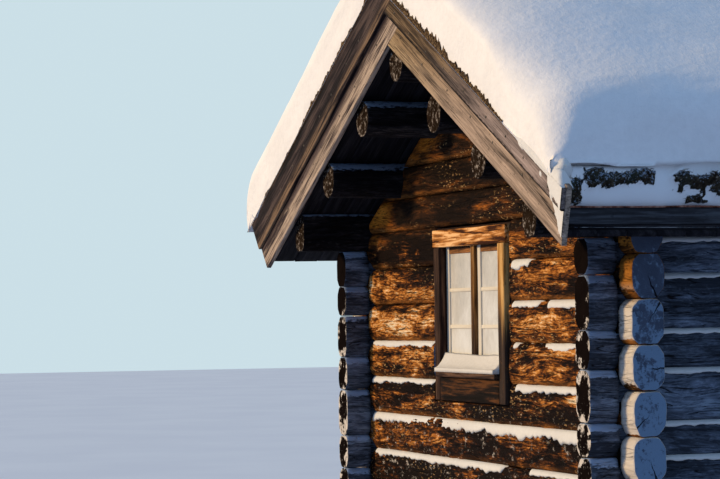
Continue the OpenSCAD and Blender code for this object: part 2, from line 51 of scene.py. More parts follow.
SASH_LO, SASH_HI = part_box("right_casement")
FOOT_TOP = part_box("foundation")[1][2]
EAVE_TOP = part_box("right_eave_board")[1][2]
SNOW_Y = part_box("right_roof_snow")[1][1]
BARGE_Y = -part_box("front_lower_bargeboards")[0][1]
WALL_TOP = WALL_HI[2]
HALF_W = SIDE_HI[0]
HALF_L = -WALL_LO[1]
LOG_T = SIDE_HI[0] - SIDE_LO[0]
TAIL = WALL_HI[0] - HALF_W
SIDE_X = HALF_W - LOG_T / 2
GABLE_Y = HALF_L - LOG_T / 2
EAVE_X = BOARDS_HI[0]
ROOF_Y = BOARDS_HI[1]
WINDOW_X = (CASING_LO[0] + CASING_HI[0]) / 2
SIDES = ((-1, "left"), (1, "right"))
ENDS = ((-1, "front"), (1, "back"))

# Log work: sizes as in the part's source, then the spacing of the mesh along a log
COURSES = 9
COURSE = (WALL_TOP - FOOT_TOP) / COURSES
GABLE_ROWS = 5
GABLE_COURSE = 0.180
NECK_IN = 0.016
RAKE_W, RAKE_IN = 0.075, 0.055
WINDOW_HALF, DOOR_HALF = 0.545, 0.450
WINDOW_LOW = FOOT_TOP + 4 * COURSE + 0.095
JOINT_WANDER = 0.044
WANDER = {
    -1: (0, 0.3, -0.3, -0.69, 0.67, 0.25, 1, 0.13, 0.1),
    1: (0, -0.4, 0.4, 0.2, -0.98, -0.18, -0.82, 0.24, -0.62),
}
AROUND = 40
LOG_STEP = 0.060
FRONT_STEP = 0.029
BACK_STEP = 0.056
CAP_SCALES = (1, 0.8, 0.55, 0.3)

# Roof. A size ending in _V is a distance square to the slope, from the boards' underside
SLOPE = math.radians(26.7)
TAN, COS, SIN = math.tan(SLOPE), math.cos(SLOPE), math.sin(SLOPE)
APEX = BOARDS_LO[2] + EAVE_X * TAN
BOARD_T, BOARD_W = 0.028, 0.146
BARK_TOP_V = 0.037
TURF_V, SNOW_V = 0.281, 0.651
LOWER_V, LOWER_W, LOWER_T = -0.0295, 0.264, 0.027
UPPER_V, UPPER_T = 0.1215, 0.019
UPPER_W = {"left": 0.205, "right": 0.100}
UPPER_Y = BARGE_Y + 0.0192
BARGE_REACH = 0.010
SLANT = {"left": 0.70, "right": 0.27}
EAVE_FACE_H = 0.075
EAVE_SETBACK = 0.008
TURF_EDGE_H = 0.235
HEATHER_FROM, HEATHER_OUT = 0.46, 0.046
STEM_TRIES = 9000

# Snow: its roll at the eave and the ridge, its lip, and the front corner that leans back
SNOW_ROLL, SNOW_FRONT_ROLL, SNOW_RIDGE = 0.190, 0.27, 0.500
SNOW_REACH, LIP_REACH = 0.050, 0.350
LIP_TAN = math.tan(math.radians(4.9))
SNOW_CORNER = (0.05, 0.20)
SNOW_CORNER_H = 0.42
SNOW_LEAN = 0.15
SNOW_FADE = 0.9
SNOW_FRONT_Y, SNOW_FRONT_RUN = -1.3, 1.2
SNOW_BEVEL_H = {-1: 0.175, 1: 0.110}
SNOW_BEVEL_IN = {-1: 0.640, 1: 0.070}
SNOW_TOE = 5
SNOW_END_STEPS = 9
SNOW_LOW_H = 0.165
LUMP_RADII = (0.100, 0.056, 0.072)
LUMP_IN, LUMP_Y, LUMP_H = 0.085, 2.622, 0.162
LINTEL_H, LINTEL_EAR = 0.095, 0.026

# Where a gable's wood shows golden: bared by the weather, and as painted sunlight and painted
# bounce light, the patches high on the gable triangle among them: x, z, half sizes and strength
BARED_AND_LIT_PATCHES = (
    (-1.36, 1.755, 0.36, 0.075, 0.62), (-1.08, 1.800, 0.22, 0.045, 0.45),
    (-0.80, 1.730, 0.30, 0.060, 0.25), (-1.36, 1.530, 0.40, 0.095, 0.75),
    (-0.85, 1.540, 0.30, 0.090, 0.36), (-1.45, 1.380, 0.26, 0.034, 0.95),
    (-1.10, 1.345, 0.16, 0.040, 0.55), (-0.88, 1.285, 0.12, 0.050, 0.50),
    (-1.40, 1.285, 0.36, 0.050, 0.34), (-1.15, 1.120, 0.28, 0.014, 0.85),
    (-0.75, 1.095, 0.25, 0.030, 0.45), (-1.60, 1.870, 0.22, 0.022, 0.45),
    (-0.83, 1.915, 0.035, 0.022, 1.20), (0.67, 1.945, 0.30, 0.050, 0.62),
    (1.27, 1.895, 0.22, 0.040, 0.50), (0.90, 1.735, 0.60, 0.080, 0.14),
    (1.20, 1.700, 0.06, 0.012, 1.00), (1.15, 1.555, 0.34, 0.085, 0.58),
    (0.70, 1.500, 0.25, 0.030, 0.40), (0.98, 1.380, 0.34, 0.024, 0.70),
    (1.10, 1.275, 0.40, 0.045, 0.40), (0.75, 1.250, 0.22, 0.030, 0.40),
    (1.30, 1.150, 0.12, 0.020, 0.50), (-1.42, 2.150, 0.24, 0.090, 0.72),
    (-1.00, 2.330, 0.20, 0.085, 0.46), (-0.75, 2.510, 0.34, 0.085, 0.66),
    (-0.30, 2.330, 0.50, 0.080, 0.16), (0.10, 2.160, 0.90, 0.060, 0.14),
    (-1.45, 1.990, 0.20, 0.060, 0.30), (1.10, 1.140, 0.45, 0.020, 0.55),
    (0.35, 1.110, 0.60, 0.020, 0.35),
)
# Snow on the window gable's ledges, by course: from x, to x and height
SNOW_LEDGES = {
    1: ((-1.62, 1.62, 0.034),),
    2: ((-1.62, -0.30, 0.036), (-0.10, 1.62, 0.038)),
    3: ((-1.62, 0.40, 0.040), (0.70, 1.62, 0.036)),
    4: ((-1.66, -0.62, 0.046), (-0.66, 1.66, 0.060)),
    5: ((-1.66, -0.57, 0.036), (0.53, 1.66, 0.040)),
    6: ((-1.64, -0.57, 0.036), (0.51, 1.66, 0.038)),
    7: ((0.50, 0.93, 0.036), (0.96, 1.66, 0.042)),
    8: ((0.50, 0.80, 0.050),),
}
LEDGE_STEP = 0.016
LEDGE_IN = 0.030

# Light and shared colours
KEY_LEVEL = 1.09
KEY_COLOUR = (1.0, 0.74, 0.39)
KEY_TURN, KEY_LIFT, KEY_SPREAD = math.radians(25), math.radians(16.5), math.radians(9)
FILL_COLOUR = (0.215, 0.355, 0.60)
BACKDROP_COLOUR = (0.60, 0.74, 0.80)
FLOOR_BOUNCE = (0.36, 0.46, 0.64)
FLOOR_HALF = 60.0
# Snow white, a little warm: the warmth is painted sunlight.
SNOW_COLOUR = (0.86, 0.82, 0.79)
# Blue-grey frost: painted shade on the frost.
FROST_COLOUR = (0.42, 0.50, 0.62)
BLACK = (0.006, 0.004, 0.004)

rng = np.random.default_rng(11)


def smooth(x):
    """A smooth step from 0 to 1 as x goes from 0 to 1."""
    x = np.clip(x, 0, 1)
    return x * x * (3 - 2 * x)


def under(x):
    """Height of the roof boards' underside at x."""
    return APEX - np.abs(x) * TAN


def on_slope(x, v):
    """Height over x of what lies v out of the roof boards' underside."""
    return under(x) + v / COS


def side_joint(side, j):
    """Height of the joint under log j of a side wall, whose logs differ in height."""
    return FOOT_TOP + COURSE * (j + 0.5) + JOINT_WANDER * WANDER[side][j]


def lattice(p, seed):
    """Smooth value noise in -1..1 at the points p, an (N, 3) array."""
    cell = np.floor(p).astype(np.int64)
    f = p - cell
    f = f * f * (3 - 2 * f)
    total = np.zeros(len(p))
    for corner in range(8):
        d = np.array([corner & 1, corner >> 1 & 1, corner >> 2 & 1])
        c = cell + d
        h = c[:, 0] * 73856093 ^ c[:, 1] * 19349663 ^ c[:, 2] * 83492791 ^ (seed + 1) * 961748927
        h = (h ^ (h >> 13)) * 1274126177 & 0xFFFFFFFF
        h = (h ^ (h >> 16)) & 0xFFFF
        total += np.prod(np.where(d == 1, f, 1 - f), axis=1) * (h / 32767.5 - 1)
    return total


def fbm(p, seed, octaves=3):
    """Layered value noise, roughly in -1..1."""
    p = np.asarray(p, float)
    gain = 0.55
    total = sum(gain**i * lattice(p * 2**i, seed + 17 * i) for i in range(octaves))
    return total * (1 - gain) / (1 - gain**octaves) * 1.3


def field(seed, octaves, x, y=0.0, z=0.0):
    """Layered noise at coordinates given one by one, as arrays or plain numbers."""
    coords = np.broadcast_arrays(x, y, z)
    noise = fbm(np.stack(coords, axis=-1).reshape(-1, 3), seed, octaves)
    return noise.reshape(coords[0].shape)


def turned(faces, flip):
    """Faces as they are, or facing the other way."""
    return faces[:, ::-1] if flip else faces


def tube_quads(rings, around):
    """Faces between rings of points, each ring closed."""
    i = np.arange(rings - 1)[:, None]
    j = np.arange(around)[None, :]
    a, b = i * around + j, i * around + (j + 1) % around
    return np.stack([a, b, b + around, a + around], axis=-1).reshape(-1, 4)


def fan_tris(first, around, tip):
    """Triangles from a ring of points, which begins at first, to its tip."""
    j = np.arange(around)
    return np.stack([first + j, first + (j + 1) % around, np.full(around, tip)], axis=1)


def grid_quads(rows, cols, flip=False):
    """Faces of a grid of points."""
    i = np.arange(rows - 1)[:, None]
    j = np.arange(cols - 1)[None, :]
    a = i * cols + j
    return turned(np.stack([a, a + 1, a + cols + 1, a + cols], axis=-1).reshape(-1, 4), flip)


def sheet_faces(rows, cols, paths, flip=False):
    """Faces of a grid, of its copy below and of the walls between the two along some paths."""
    n = rows * cols
    quads = grid_quads(rows, cols)
    faces = [quads, quads[:, ::-1] + n]
    for path in paths:
        index = np.array([i * cols + j for i, j in path])
        faces.append(np.stack([index[:-1], index[:-1] + n, index[1:] + n, index[1:]], axis=1))
    return [turned(group, flip) for group in faces]


def rim_path(rows, cols, closed):
    """The places round three sides of a grid, or round all four."""
    path = [(0, j) for j in range(cols)] + [(i, cols - 1) for i in range(1, rows)]
    path += [(rows - 1, j) for j in range(cols - 2, -1, -1)]
    return path + [(i, 0) for i in range(rows - 2, -1, -1)] if closed else path


class Build:
    """Gathers vertices, faces and surface coordinates, and makes one mesh piece of them."""

    def __init__(self):
        self.points, self.polys, self.slots, self.grain, self.look = [], [], [], [], []
        self.count = 0

    def add(self, points, polys, slot=0, grain=None, look=None):
        n = len(points)
        self.points.append(np.asarray(points, float))
        self.grain.append(np.asarray(points if grain is None else grain, float))
        self.look.append(np.zeros((n, 3)) if look is None else np.asarray(look, float))
        for group in polys:
            self.polys.append(group + self.count)
            self.slots.append(np.full(len(group), slot))
        self.count += n

    def sweep(self, rows, flip=False, look=None):
        """Joins the lines that a closed section's points draw along a run."""
        grid = np.stack(rows, axis=1)
        quads = tube_quads(len(grid), len(rows))
        if look is not None:
            look = np.tile(look, (grid.shape[0] * grid.shape[1], 1))
        self.add(grid.reshape(-1, 3), [turned(quads, flip)], 0, None, look)

    def piece(self, name, looks, slot, replaced=(), smooth=True):
        mesh = bpy.data.meshes.new(name)
        points = np.concatenate(self.points)
        loops = np.concatenate([g.ravel() for g in self.polys])
        sizes = np.concatenate([np.full(len(g), g.shape[1]) for g in self.polys])
        starts = np.concatenate([[0], np.cumsum(sizes)[:-1]])
        mesh.vertices.add(len(points))
        mesh.vertices.foreach_set("co", points.ravel())
        mesh.loops.add(len(loops))
        mesh.loops.foreach_set("vertex_index", loops.astype(np.int32))
        mesh.polygons.add(len(sizes))
        mesh.polygons.foreach_set("loop_start", starts.astype(np.int32))
        mesh.polygons.foreach_set("loop_total", sizes.astype(np.int32))
        mesh.polygons.foreach_set("material_index", np.concatenate(self.slots).astype(np.int32))
        mesh.polygons.foreach_set("use_smooth", np.full(len(sizes), smooth))
        mesh.update(calc_edges=True)
        for key, value in (("grain", self.grain), ("look", self.look)):
            layer = mesh.attributes.new(key, "FLOAT_VECTOR", "POINT")
            layer.data.foreach_set("vector", np.concatenate(value).ravel())
        for key in looks:
            mesh.materials.append(MAT[key])
        mesh.validate()
        obj = bpy.data.objects.new(name, mesh)
        bpy.context.scene.collection.objects.link(obj)
        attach(obj, "root")
        if replaced:
            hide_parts(*replaced)


def hewn_outline(a, b, cuts, crisp):
    """Evenly spaced points round a log's section with half sizes a and b.

    cuts are the four corner bevels, each (into the face, up the face). A low crisp rounds them.
    """
    t = np.linspace(0, 2 * math.pi, 1440, endpoint=False)
    c, s = np.cos(t), np.sin(t)
    planes = [(1, 0, a), (-1, 0, a), (0, 1, b), (0, -1, b)]
    for (sx, sz), (cut_in, cut_up) in zip(((1, 1), (-1, 1), (-1, -1), (1, -1)), cuts):
        size = math.hypot(cut_in, cut_up)
        planes.append((sx * cut_up / size, sz * cut_in / size,
                       (a * cut_up + (b - cut_up) * cut_in) / size))
    total = sum(np.maximum((nx * c + nz * s) / d, 0) ** crisp for nx, nz, d in planes)
    reach = total ** (-1 / crisp)
    x, y = c * reach, s * reach
    step = np.hypot(np.diff(x, append=x[0]), np.diff(y, append=y[0]))
    run = np.concatenate([[0], np.cumsum(step)])
    want = np.linspace(0, run[-1], AROUND, endpoint=False)
    index = np.clip(np.searchsorted(run, want), 0, len(x) - 1)
    return np.stack([x[index], y[index]], axis=1)


def log_stations(length, step, edges):
    """Places along a log where its mesh has a ring, closer at its ends and at notch edges."""
    stations = list(np.linspace(0, length, max(4, int(length / step)) + 1))
    stations += [0.004, 0.014, length - 0.004, length - 0.014]
    for edge in edges:
        stations += [edge - 0.002, edge + 0.002]
    return np.array(sorted(x for x in stations if 0 <= x <= length))


def log(
    build, axis, a0, a1, across, z0, height, thick, seed, zones=(), cuts=None, crisp=26,
    rake=None, rough=1.0, spacing=LOG_STEP, tint=0.5, top=None, wall=None, warm=None,
):
    """One hewn log along X or Y with end-grain caps.

    zones are (start, end, low, high, half thickness): the notches, where the log is hewn down.
    rake gives raking ends: the reach to both sides as a function of height.
    top is a function that limits the height at a point. Within wall of the middle the
    corner bevels are narrow. warm gives, at points (x, z), how far the wood shows golden:
    bared wood and painted light.
    """
    length = a1 - a0
    s = log_stations(length, spacing, [edge - a0 for zone in zones for edge in zone[:2]])
    rings = len(s)
    if cuts is None:
        shape = np.random.default_rng(seed)
        cuts = [(shape.uniform(0.026, 0.042), shape.uniform(0.036, 0.056)) for _ in range(4)]
    outline = hewn_outline(thick / 2, height / 2, cuts, crisp)
    slim = hewn_outline(thick / 2, height / 2, [(i / 2, up / 2) for i, up in cuts], crisp)
    share = np.zeros((rings, 1)) if wall is None else smooth((wall - np.abs(a0 + s[:, None])) / 0.06)
    p, q = (outline[:, i] + share * (slim[:, i] - outline[:, i]) for i in (0, 1))
    along = np.repeat(s[:, None], AROUND, axis=1)
    shift = seed * np.array([7.31, 3.17, 1.93])
    flat = np.stack([along, p, q], axis=-1).reshape(-1, 3)
    swell = fbm(flat * [1.6, 4, 4] + shift, seed, 2)
    scoop = np.abs(fbm(flat * [7, 15, 15] + shift, seed + 5, 2))
    fine = fbm(flat * [22, 60, 60] + shift, seed + 9, 2)
    relief = (0.0035 * swell - 0.0055 * (0.35 - scoop) + 0.0012 * fine) * rough
    grow = 1 + relief.reshape(p.shape) / np.hypot(p, q)
    bow = 0.004 * rough * field(seed + 3, 2, s * 0.9 + shift[0])
    end = np.minimum(s, length - s)
    shrink = (1 - 0.035 * np.clip(1 - end / 0.006, 0, 1) ** 2)[:, None]
    p, q = (p * grow + bow[:, None]) * shrink, q * grow * shrink
    for start, stop, low, high, half in zones:
        inside = (s >= start - a0) & (s <= stop - a0)
        q[inside] = np.clip(q[inside], low - z0 - height / 2, high - z0 - height / 2)
        p[inside] = np.clip(p[inside], -half, half)
    z = z0 + height / 2 + q
    run = a0 + along
    if rake is not None:
        reach = rake(z)
        run = (run - np.clip(1 - along / 0.35, 0, 1) * (reach + a0)
               + np.clip(1 - (length - along) / 0.35, 0, 1) * (reach - a1))
    x, y = (run, across + p) if axis == "x" else (across + p, run)
    if top is not None:
        z = np.minimum(z, top(x))
    points = np.stack([x, y, z], axis=-1).reshape(-1, 3)
    grain = np.stack([along + shift[0], p, q], axis=-1).reshape(-1, 3)
    tail = end
    if wall is not None:
        far = np.full(rings, 9.0)
        tail = np.minimum(s if abs(a0) > wall else far, length - s if abs(a1) > wall else far)
    look = np.zeros((len(points), 3))
    # The look's first value: a tint, or on a gable how far the wood shows golden, from bared wood
    # and painted light.
    look[:, 0] = tint if warm is None else warm(points[:, 0], points[:, 2])
    look[:, 1] = np.clip(0.5 + relief / 0.008, 0, 1)
    look[:, 2] = np.repeat(tail, AROUND)
    build.add(points, [turned(tube_quads(rings, AROUND), axis == "y")], 0, grain, look)
    for ring, out in ((0, -1), (rings - 1, 1)):
        rim = slice(ring * AROUND, (ring + 1) * AROUND)
        log_cap(build, axis, points[rim], grain[rim], out, tint, shift, seed)


def log_cap(build, axis, rim, rim_grain, out, tint, shift, seed):
    """The slightly domed end of a log, drawn in from its last ring to the middle."""
    def drawn_in(ring):
        centre = ring.mean(axis=0)
        return np.concatenate([centre + (ring - centre) * k for k in CAP_SCALES] + [[centre]])

    cap, grain = drawn_in(rim), drawn_in(rim_grain)
    dome = 0.004 * fbm(grain * [1, 22, 22] + shift, seed + 21, 2)
    dome[:AROUND] = 0
    cap[:, 0 if axis == "x" else 1] += out * dome
    look = np.tile([tint, 0.0, 0.0], (len(cap), 1))
    look[:, 1] = np.repeat(CAP_SCALES + (0,), [AROUND] * len(CAP_SCALES) + [1])
    flip = (out < 0) == (axis == "x")
    fan = fan_tris((len(CAP_SCALES) - 1) * AROUND, AROUND, len(cap) - 1)
    build.add(cap, [turned(tube_quads(len(CAP_SCALES), AROUND), flip), turned(fan, flip)],
              1, grain, look)


def placer(origin, along, across, up):
    """A map from local board coordinates to the row frame."""
    m = np.array([along, across, up], float)

    def place(p):
        return np.asarray(origin, float) + p @ m

    place.turned = bool(np.linalg.det(m) < 0)
    return place


def board(
    build, place, dims, seed, radius=0.003, spacing=0.05, wobble=0.0012, slot=0, tint=0.5,
    ends=None,
):
    """One board of length, width and thickness dims as a rounded box.

    place maps local (N, 3) points to the row frame. ends, when given, maps the width
    coordinate to the start and the end along the length.
    """
    axes = []
    for size, step in zip(dims, (spacing, 0.045, 0.03)):
        inner = np.linspace(radius, size - radius, max(2, int(size / step) + 1))
        axes.append(np.concatenate([[0, radius * 0.3], inner, [size - radius * 0.3, size]]))
    dims = np.array(dims, float)
    shift = seed * np.array([5.7, 2.3, 9.1])
    for fixed in range(3):
        u, v = [k for k in range(3) if k != fixed]
        gu, gv = np.meshgrid(axes[u], axes[v], indexing="ij")
        for side in (0, 1):
            pts = np.zeros(gu.shape + (3,))
            pts[..., u], pts[..., v], pts[..., fixed] = gu, gv, dims[fixed] * side
            pts = pts.reshape(-1, 3)
            core = np.clip(pts, radius, dims - radius)
            norm = np.linalg.norm(pts - core, axis=1, keepdims=True)
            rounded = core + (pts - core) / np.maximum(norm, 1e-9) * radius
            wave = fbm(rounded * [3, 9, 9] + shift, seed, 3)
            chip = np.abs(fbm(rounded * [14, 30, 30] + shift, seed + 4, 2))
            edge = np.clip(norm[:, 0] / radius, 1, 1.5) - 1
            rounded[:, 2] += wobble * wave
            rounded[:, 1] += wobble * 1.5 * wave
            share = np.clip(rounded[:, 1] / dims[1], 0, 1)
            rounded += (core - rounded) * (edge * chip)[:, None]
            local = rounded.copy()
            if ends is not None:
                start, stop = ends(local[:, 1])
                local[:, 0] = start + (stop - start) * local[:, 0] / dims[0]
            look = np.column_stack([np.full(len(local), tint), share,
                                    np.minimum(rounded[:, 0], dims[0] - rounded[:, 0])])
            flip = ((side == 1) == (fixed == 1)) != place.turned
            build.add(place(local), [grid_quads(len(axes[u]), len(axes[v]), not flip)],
                      slot, rounded + shift, look)


def boxed(build, lo, hi, seed, slot=0, radius=0.003, grain_axis=None, wobble=0.001):
    """A board between two corners, with its grain along its longest side unless told."""
    size = np.array(hi, float) - np.array(lo, float)
    axis = int(np.argmax(size)) if grain_axis is None else grain_axis
    order = [axis, (axis + 1) % 3, (axis + 2) % 3]
    board(build, placer(lo, *np.eye(3)[order]), size[order], seed, radius, 0.05, wobble, slot,
          rng.random())


class Value:
    """A node's output. Sums, differences and products of it add the nodes for them."""

    def __init__(self, tree, socket):
        self.tree, self.socket = tree, socket

    def __add__(self, other):
        return self.tree.math("ADD", self, other)

    def __sub__(self, other):
        return self.tree.math("SUBTRACT", self, other)

    def __rsub__(self, other):
        return self.tree.math("SUBTRACT", other, self)

    def __mul__(self, other):
        return self.tree.math("MULTIPLY", self, other)

    __radd__ = __add__
    __rmul__ = __mul__

    def span(self, low, high, to_low=0.0, to_high=1.0):
        """A smooth step from to_low to to_high as the value goes from low to high."""
        return self.tree.node("ShaderNodeMapRange", "Result", {
            "Value": self, "From Min": low, "From Max": high, "To Min": to_low,
            "To Max": to_high,
        }, interpolation_type="SMOOTHSTEP")


class Tree:
    """A node tree, with short names for the nodes used here."""

    def __init__(self, tree):
        self.tree = tree

    def make(self, kind, inputs=(), **props):
        n = self.tree.nodes.new(kind)
        for key, value in props.items():
            setattr(n, key, value)
        for key, value in dict(inputs).items():
            socket = n.inputs[key]
            if isinstance(value, Value):
                self.tree.links.new(value.socket, socket)
            elif socket.type == "RGBA":
                socket.default_value = (*value, 1)
            else:
                socket.default_value = value
        return n

    def node(self, kind, output, inputs=(), **props):
        return Value(self, self.make(kind, inputs, **props).outputs[output])

    def parts(self, vector):
        n = self.make("ShaderNodeSeparateXYZ", {0: vector})
        return [Value(self, socket) for socket in n.outputs]

    def noise(self, vector, scale, detail, rough, distort=0.0):
        """Layered noise in 0..1. scale is one number, or one for each axis."""
        if isinstance(scale, tuple):
            vector = self.node("ShaderNodeVectorMath", 0, {0: vector, 1: scale},
                               operation="MULTIPLY")
            scale = 1.0
        return self.node("ShaderNodeTexNoise", "Fac", {
            "Vector": vector, "Scale": scale, "Detail": detail, "Roughness": rough,
            "Distortion": distort,
        })

    def math(self, op, *values):
        return self.node("ShaderNodeMath", 0, enumerate(values), operation=op)

    def weighted(self, spread, *terms):
        """0.5 and a sum of noises about their middle, each with its own weight."""
        return sum(((value - 0.5) * (weight * spread) for value, weight in terms), 0.5)

    def ramp(self, value, *stops):
        n = self.make("ShaderNodeValToRGB", {"Fac": value})
        while len(n.color_ramp.elements) < len(stops):
            n.color_ramp.elements.new(0.5)
        for element, (position, colour) in zip(n.color_ramp.elements, stops):
            element.position = position
            element.color = (*colour, 1)
        return Value(self, n.outputs["Color"])

    def mix(self, factor, a, b):
        return self.node("ShaderNodeMix", 2, {"Factor": factor, 6: a, 7: b}, data_type="RGBA")

    def seen(self):
        """1 for what the camera sees, in gloss and through glass too, and 0 for other light."""
        path = self.make("ShaderNodeLightPath")
        rays = [Value(self, path.outputs[f"Is {kind} Ray"])
                for kind in ("Camera", "Glossy", "Transmission")]
        return functools.reduce(lambda a, b: self.math("MAXIMUM", a, b), rays)


class Shader(Tree):
    """A material of one shader, with the surface coordinates that its noises lie on."""

    def __init__(self, name, roughness, **sockets):
        self.material = bpy.data.materials.new(name)
        self.material.use_nodes = True
        super().__init__(self.material.node_tree)
        self.bsdf = self.tree.nodes["Principled BSDF"]
        self.bsdf.inputs["Roughness"].default_value = roughness
        for key, value in sockets.items():
            self.bsdf.inputs[key.replace("_", " ")].default_value = value

    def attribute(self, name):
        return self.node("ShaderNodeAttribute", "Vector", attribute_name=name)

    @functools.cached_property
    def grain(self):
        return self.attribute("grain")

    @functools.cached_property
    def look(self):
        return self.parts(self.attribute("look"))

    @functools.cached_property
    def place(self):
        return self.node("ShaderNodeTexCoord", "Object")

    @functools.cached_property
    def z(self):
        return self.parts(self.place)[2]

    @functools.cached_property
    def up(self):
        return self.parts(self.node("ShaderNodeNewGeometry", "Normal"))[2]

    def finish(self, colour, height=None, distance=0.0, strength=1.0):
        """Links the colour and a bump of that height, and gives the material."""
        self.tree.links.new(colour.socket, self.bsdf.inputs["Base Color"])
        if height is not None:
            normal = self.node("ShaderNodeBump", "Normal", {
                "Height": height, "Distance": distance, "Strength": strength,
            })
            self.tree.links.new(normal.socket, self.bsdf.inputs["Normal"])
        return self.material


def log_frost(s, colour, wavy_fibre, frost, low_frost, tail_frost, frost_colour, sunlit_gold):
    """Frost over a log's colour: on upward faces, low on the wall and near the tails. High on the
    wall its colour turns golden: painted sunlight.
    """
    flake = s.noise(s.grain, (20, 34, 34), 6, 0.72)
    grit = s.noise(s.grain, (34, 95, 95), 4, 0.6)
    low = s.z.span(0.9, 2.0, 1.0, 0.0)
    tail = s.look[2].span(0.120, 0.175, 1.0, 0.0) * tail_frost
    tail = tail * s.z.span(2.06, 2.12, 1.0, 0.0) * s.up.span(-0.75, -0.30)
    flake = s.mix(s.look[2].span(0.15, 0.18, 0.8, 0.0), flake, grit)
    lift = s.up.span(0.22, 0.75) * frost + low * low_frost + tail * (low * 0.12 + 0.84)
    cover = (lift - 0.5 + flake).span(0.44, 0.60)
    if sunlit_gold is not None:
        # Painted sunlight: high on the wall the frost's colour turns to golden wood.
        frost_colour = s.mix(s.z.span(1.58, 1.72), frost_colour, s.mix(wavy_fibre, BLACK, sunlit_gold))
    return s.mix(cover, colour, frost_colour)


def log_material(name, stops, gold, speck=0.5, spread=1.0, frost=0.0, low_frost=0.0,
                 tail_frost=0.0, frost_colour=FROST_COLOUR, warmth=0.14, bounce_lit_edge=None,
                 sunlit_gold=None, eave_bounce=None):
    """Hewn log: long fibres, dark hollows, worn high spots and specks of gold.

    stops are the colours of the tone with their places, and warmth is how far the look's first
    value, bared wood and painted light on a gable, moves the tone. frost lies on upward faces,
    low_frost gathers on the lower logs and tail_frost near the ends. bounce_lit_edge is the colour
    of
    the bevels that face down: painted bounce light. gilt is the frost's colour high on the wall:
    painted sunlight. calm is (z, z, stops): over that height the wood turns smooth, in the
    colours of its own stops: painted shade under the eave, with warm bounce light.
    """
    s = Shader(name, 0.75, Specular_IOR_Level=0.04)
    along = s.parts(s.grain)
    drift = s.noise(s.grain, (1.6, 6, 6), 2, 0.5)
    wavy = s.node("ShaderNodeCombineXYZ", 0, {0: along[0], 1: along[1], 2: drift * 0.10 + along[2]})
    fibre = s.noise(wavy, (6, 72, 72), 6, 0.68, 0.8)
    torn = s.noise(wavy, (11, 40, 40), 7, 0.75, 1.4)
    patch = s.noise(s.grain, (1.7, 8, 8), 4, 0.6, 0.8)
    tone = s.weighted(spread, (fibre, 1.4), (torn, 1.3), (patch, 1.7))
    tone = tone + s.look[1].span(0.0, 1.0, -0.12, 0.12) + (s.look[0] - 0.5) * warmth
    colour = s.ramp(tone, *stops)
    if eave_bounce is not None:
        # Painted light: over this height the wood turns smooth, in redder, brighter colours, as in
        # the eave's shade with warm bounce light.
        low, high, eave_bounce_ramp = eave_bounce
        shade_tone = s.weighted(0.9, (fibre, 0.7), (patch, 1.2)) + (s.look[0] - 0.5) * 0.55
        colour = s.mix(s.z.span(low, high), colour, s.ramp(shade_tone, *eave_bounce_ramp))
    if bounce_lit_edge is not None:
        # Painted bounce light: the bevels that face down turn golden, as if lit from the snow below.
        edge = s.up.span(-0.55, -0.12, 1.0, 0.0) * patch.span(0.36, 0.58, 0.15, 1.0)
        edge = edge * s.look[0].span(0.05, 0.5, 0.25, 0.95)
        colour = s.mix(edge, colour, s.mix(fibre, BLACK, bounce_lit_edge))
    dots = s.noise(s.grain, (30, 88, 88), 2, 0.5).span(0.60, 0.67)
    dots = dots * s.noise(s.grain, (1.3, 6, 6), 3, 0.6).span(0.46, 0.60)
    colour = s.mix(dots * speck, colour, gold)
    pits = s.noise(wavy, (10, 90, 90), 4, 0.65).span(0.38, 0.46)
    colour = s.mix((1.0 - pits) * 0.7, colour, stops[0][1])
    crack = s.math("ABSOLUTE", s.noise(wavy, (1.3, 30, 30), 3, 0.5, 0.8) - 0.5)
    crack = 1.0 - crack.span(0.0, 0.013)
    colour = s.mix(crack * 0.9, colour, BLACK)
    if frost or low_frost or tail_frost:
        colour = log_frost(s, colour, fibre, frost, low_frost, tail_frost, frost_colour, sunlit_gold)
    return s.finish(colour, fibre * 0.6 + torn * 0.9 - crack * 0.7, 0.012)


def end_material(name, dark, pale, frost_high, frost_low, frost_colour=FROST_COLOUR, rim=0.15):
    """End grain: growth rings and a drying check from the pith, under frost, most at the rim."""
    s = Shader(name, 0.9, Specular_IOR_Level=0.0)
    run, p, q = s.parts(s.grain)
    wander = s.noise(s.grain, (0.4, 14, 14), 3, 0.5)
    radius = wander * 0.03 + s.math("SQRT", p * p + q * q)
    rings = s.math("SINE", radius * 900.0)
    turn = s.look[0] * 17.0 + run
    cosine, sine = s.math("COSINE", turn), s.math("SINE", turn)
    along = p * cosine + q * sine
    beside = s.math("ABSOLUTE", (wander - 0.5) * 0.045 + (q * cosine - p * sine))
    check = s.math("LESS_THAN", beside, (along + 0.005) * 0.05)
    colour = s.mix(rings * 0.15 + wander, dark, pale)
    flake = s.noise(s.grain, (1, 42, 42), 6, 0.72)
    worn = (wander - 0.5) * 2.6 + s.look[1]
    frost = (worn.span(0.62, 1.05) * s.z.span(1.55, 1.80, rim, rim * 0.35)
             + s.z.span(0.9, 2.0, frost_low, frost_high))
    cover = (flake + (frost - 0.5)).span(0.42, 0.58)
    colour = s.mix(cover * 0.92, colour, frost_colour)
    colour = s.mix(check * 0.92, colour, BLACK)
    return s.finish(colour, rings * 0.06 + flake - check * 1.5, 0.006, 0.8)


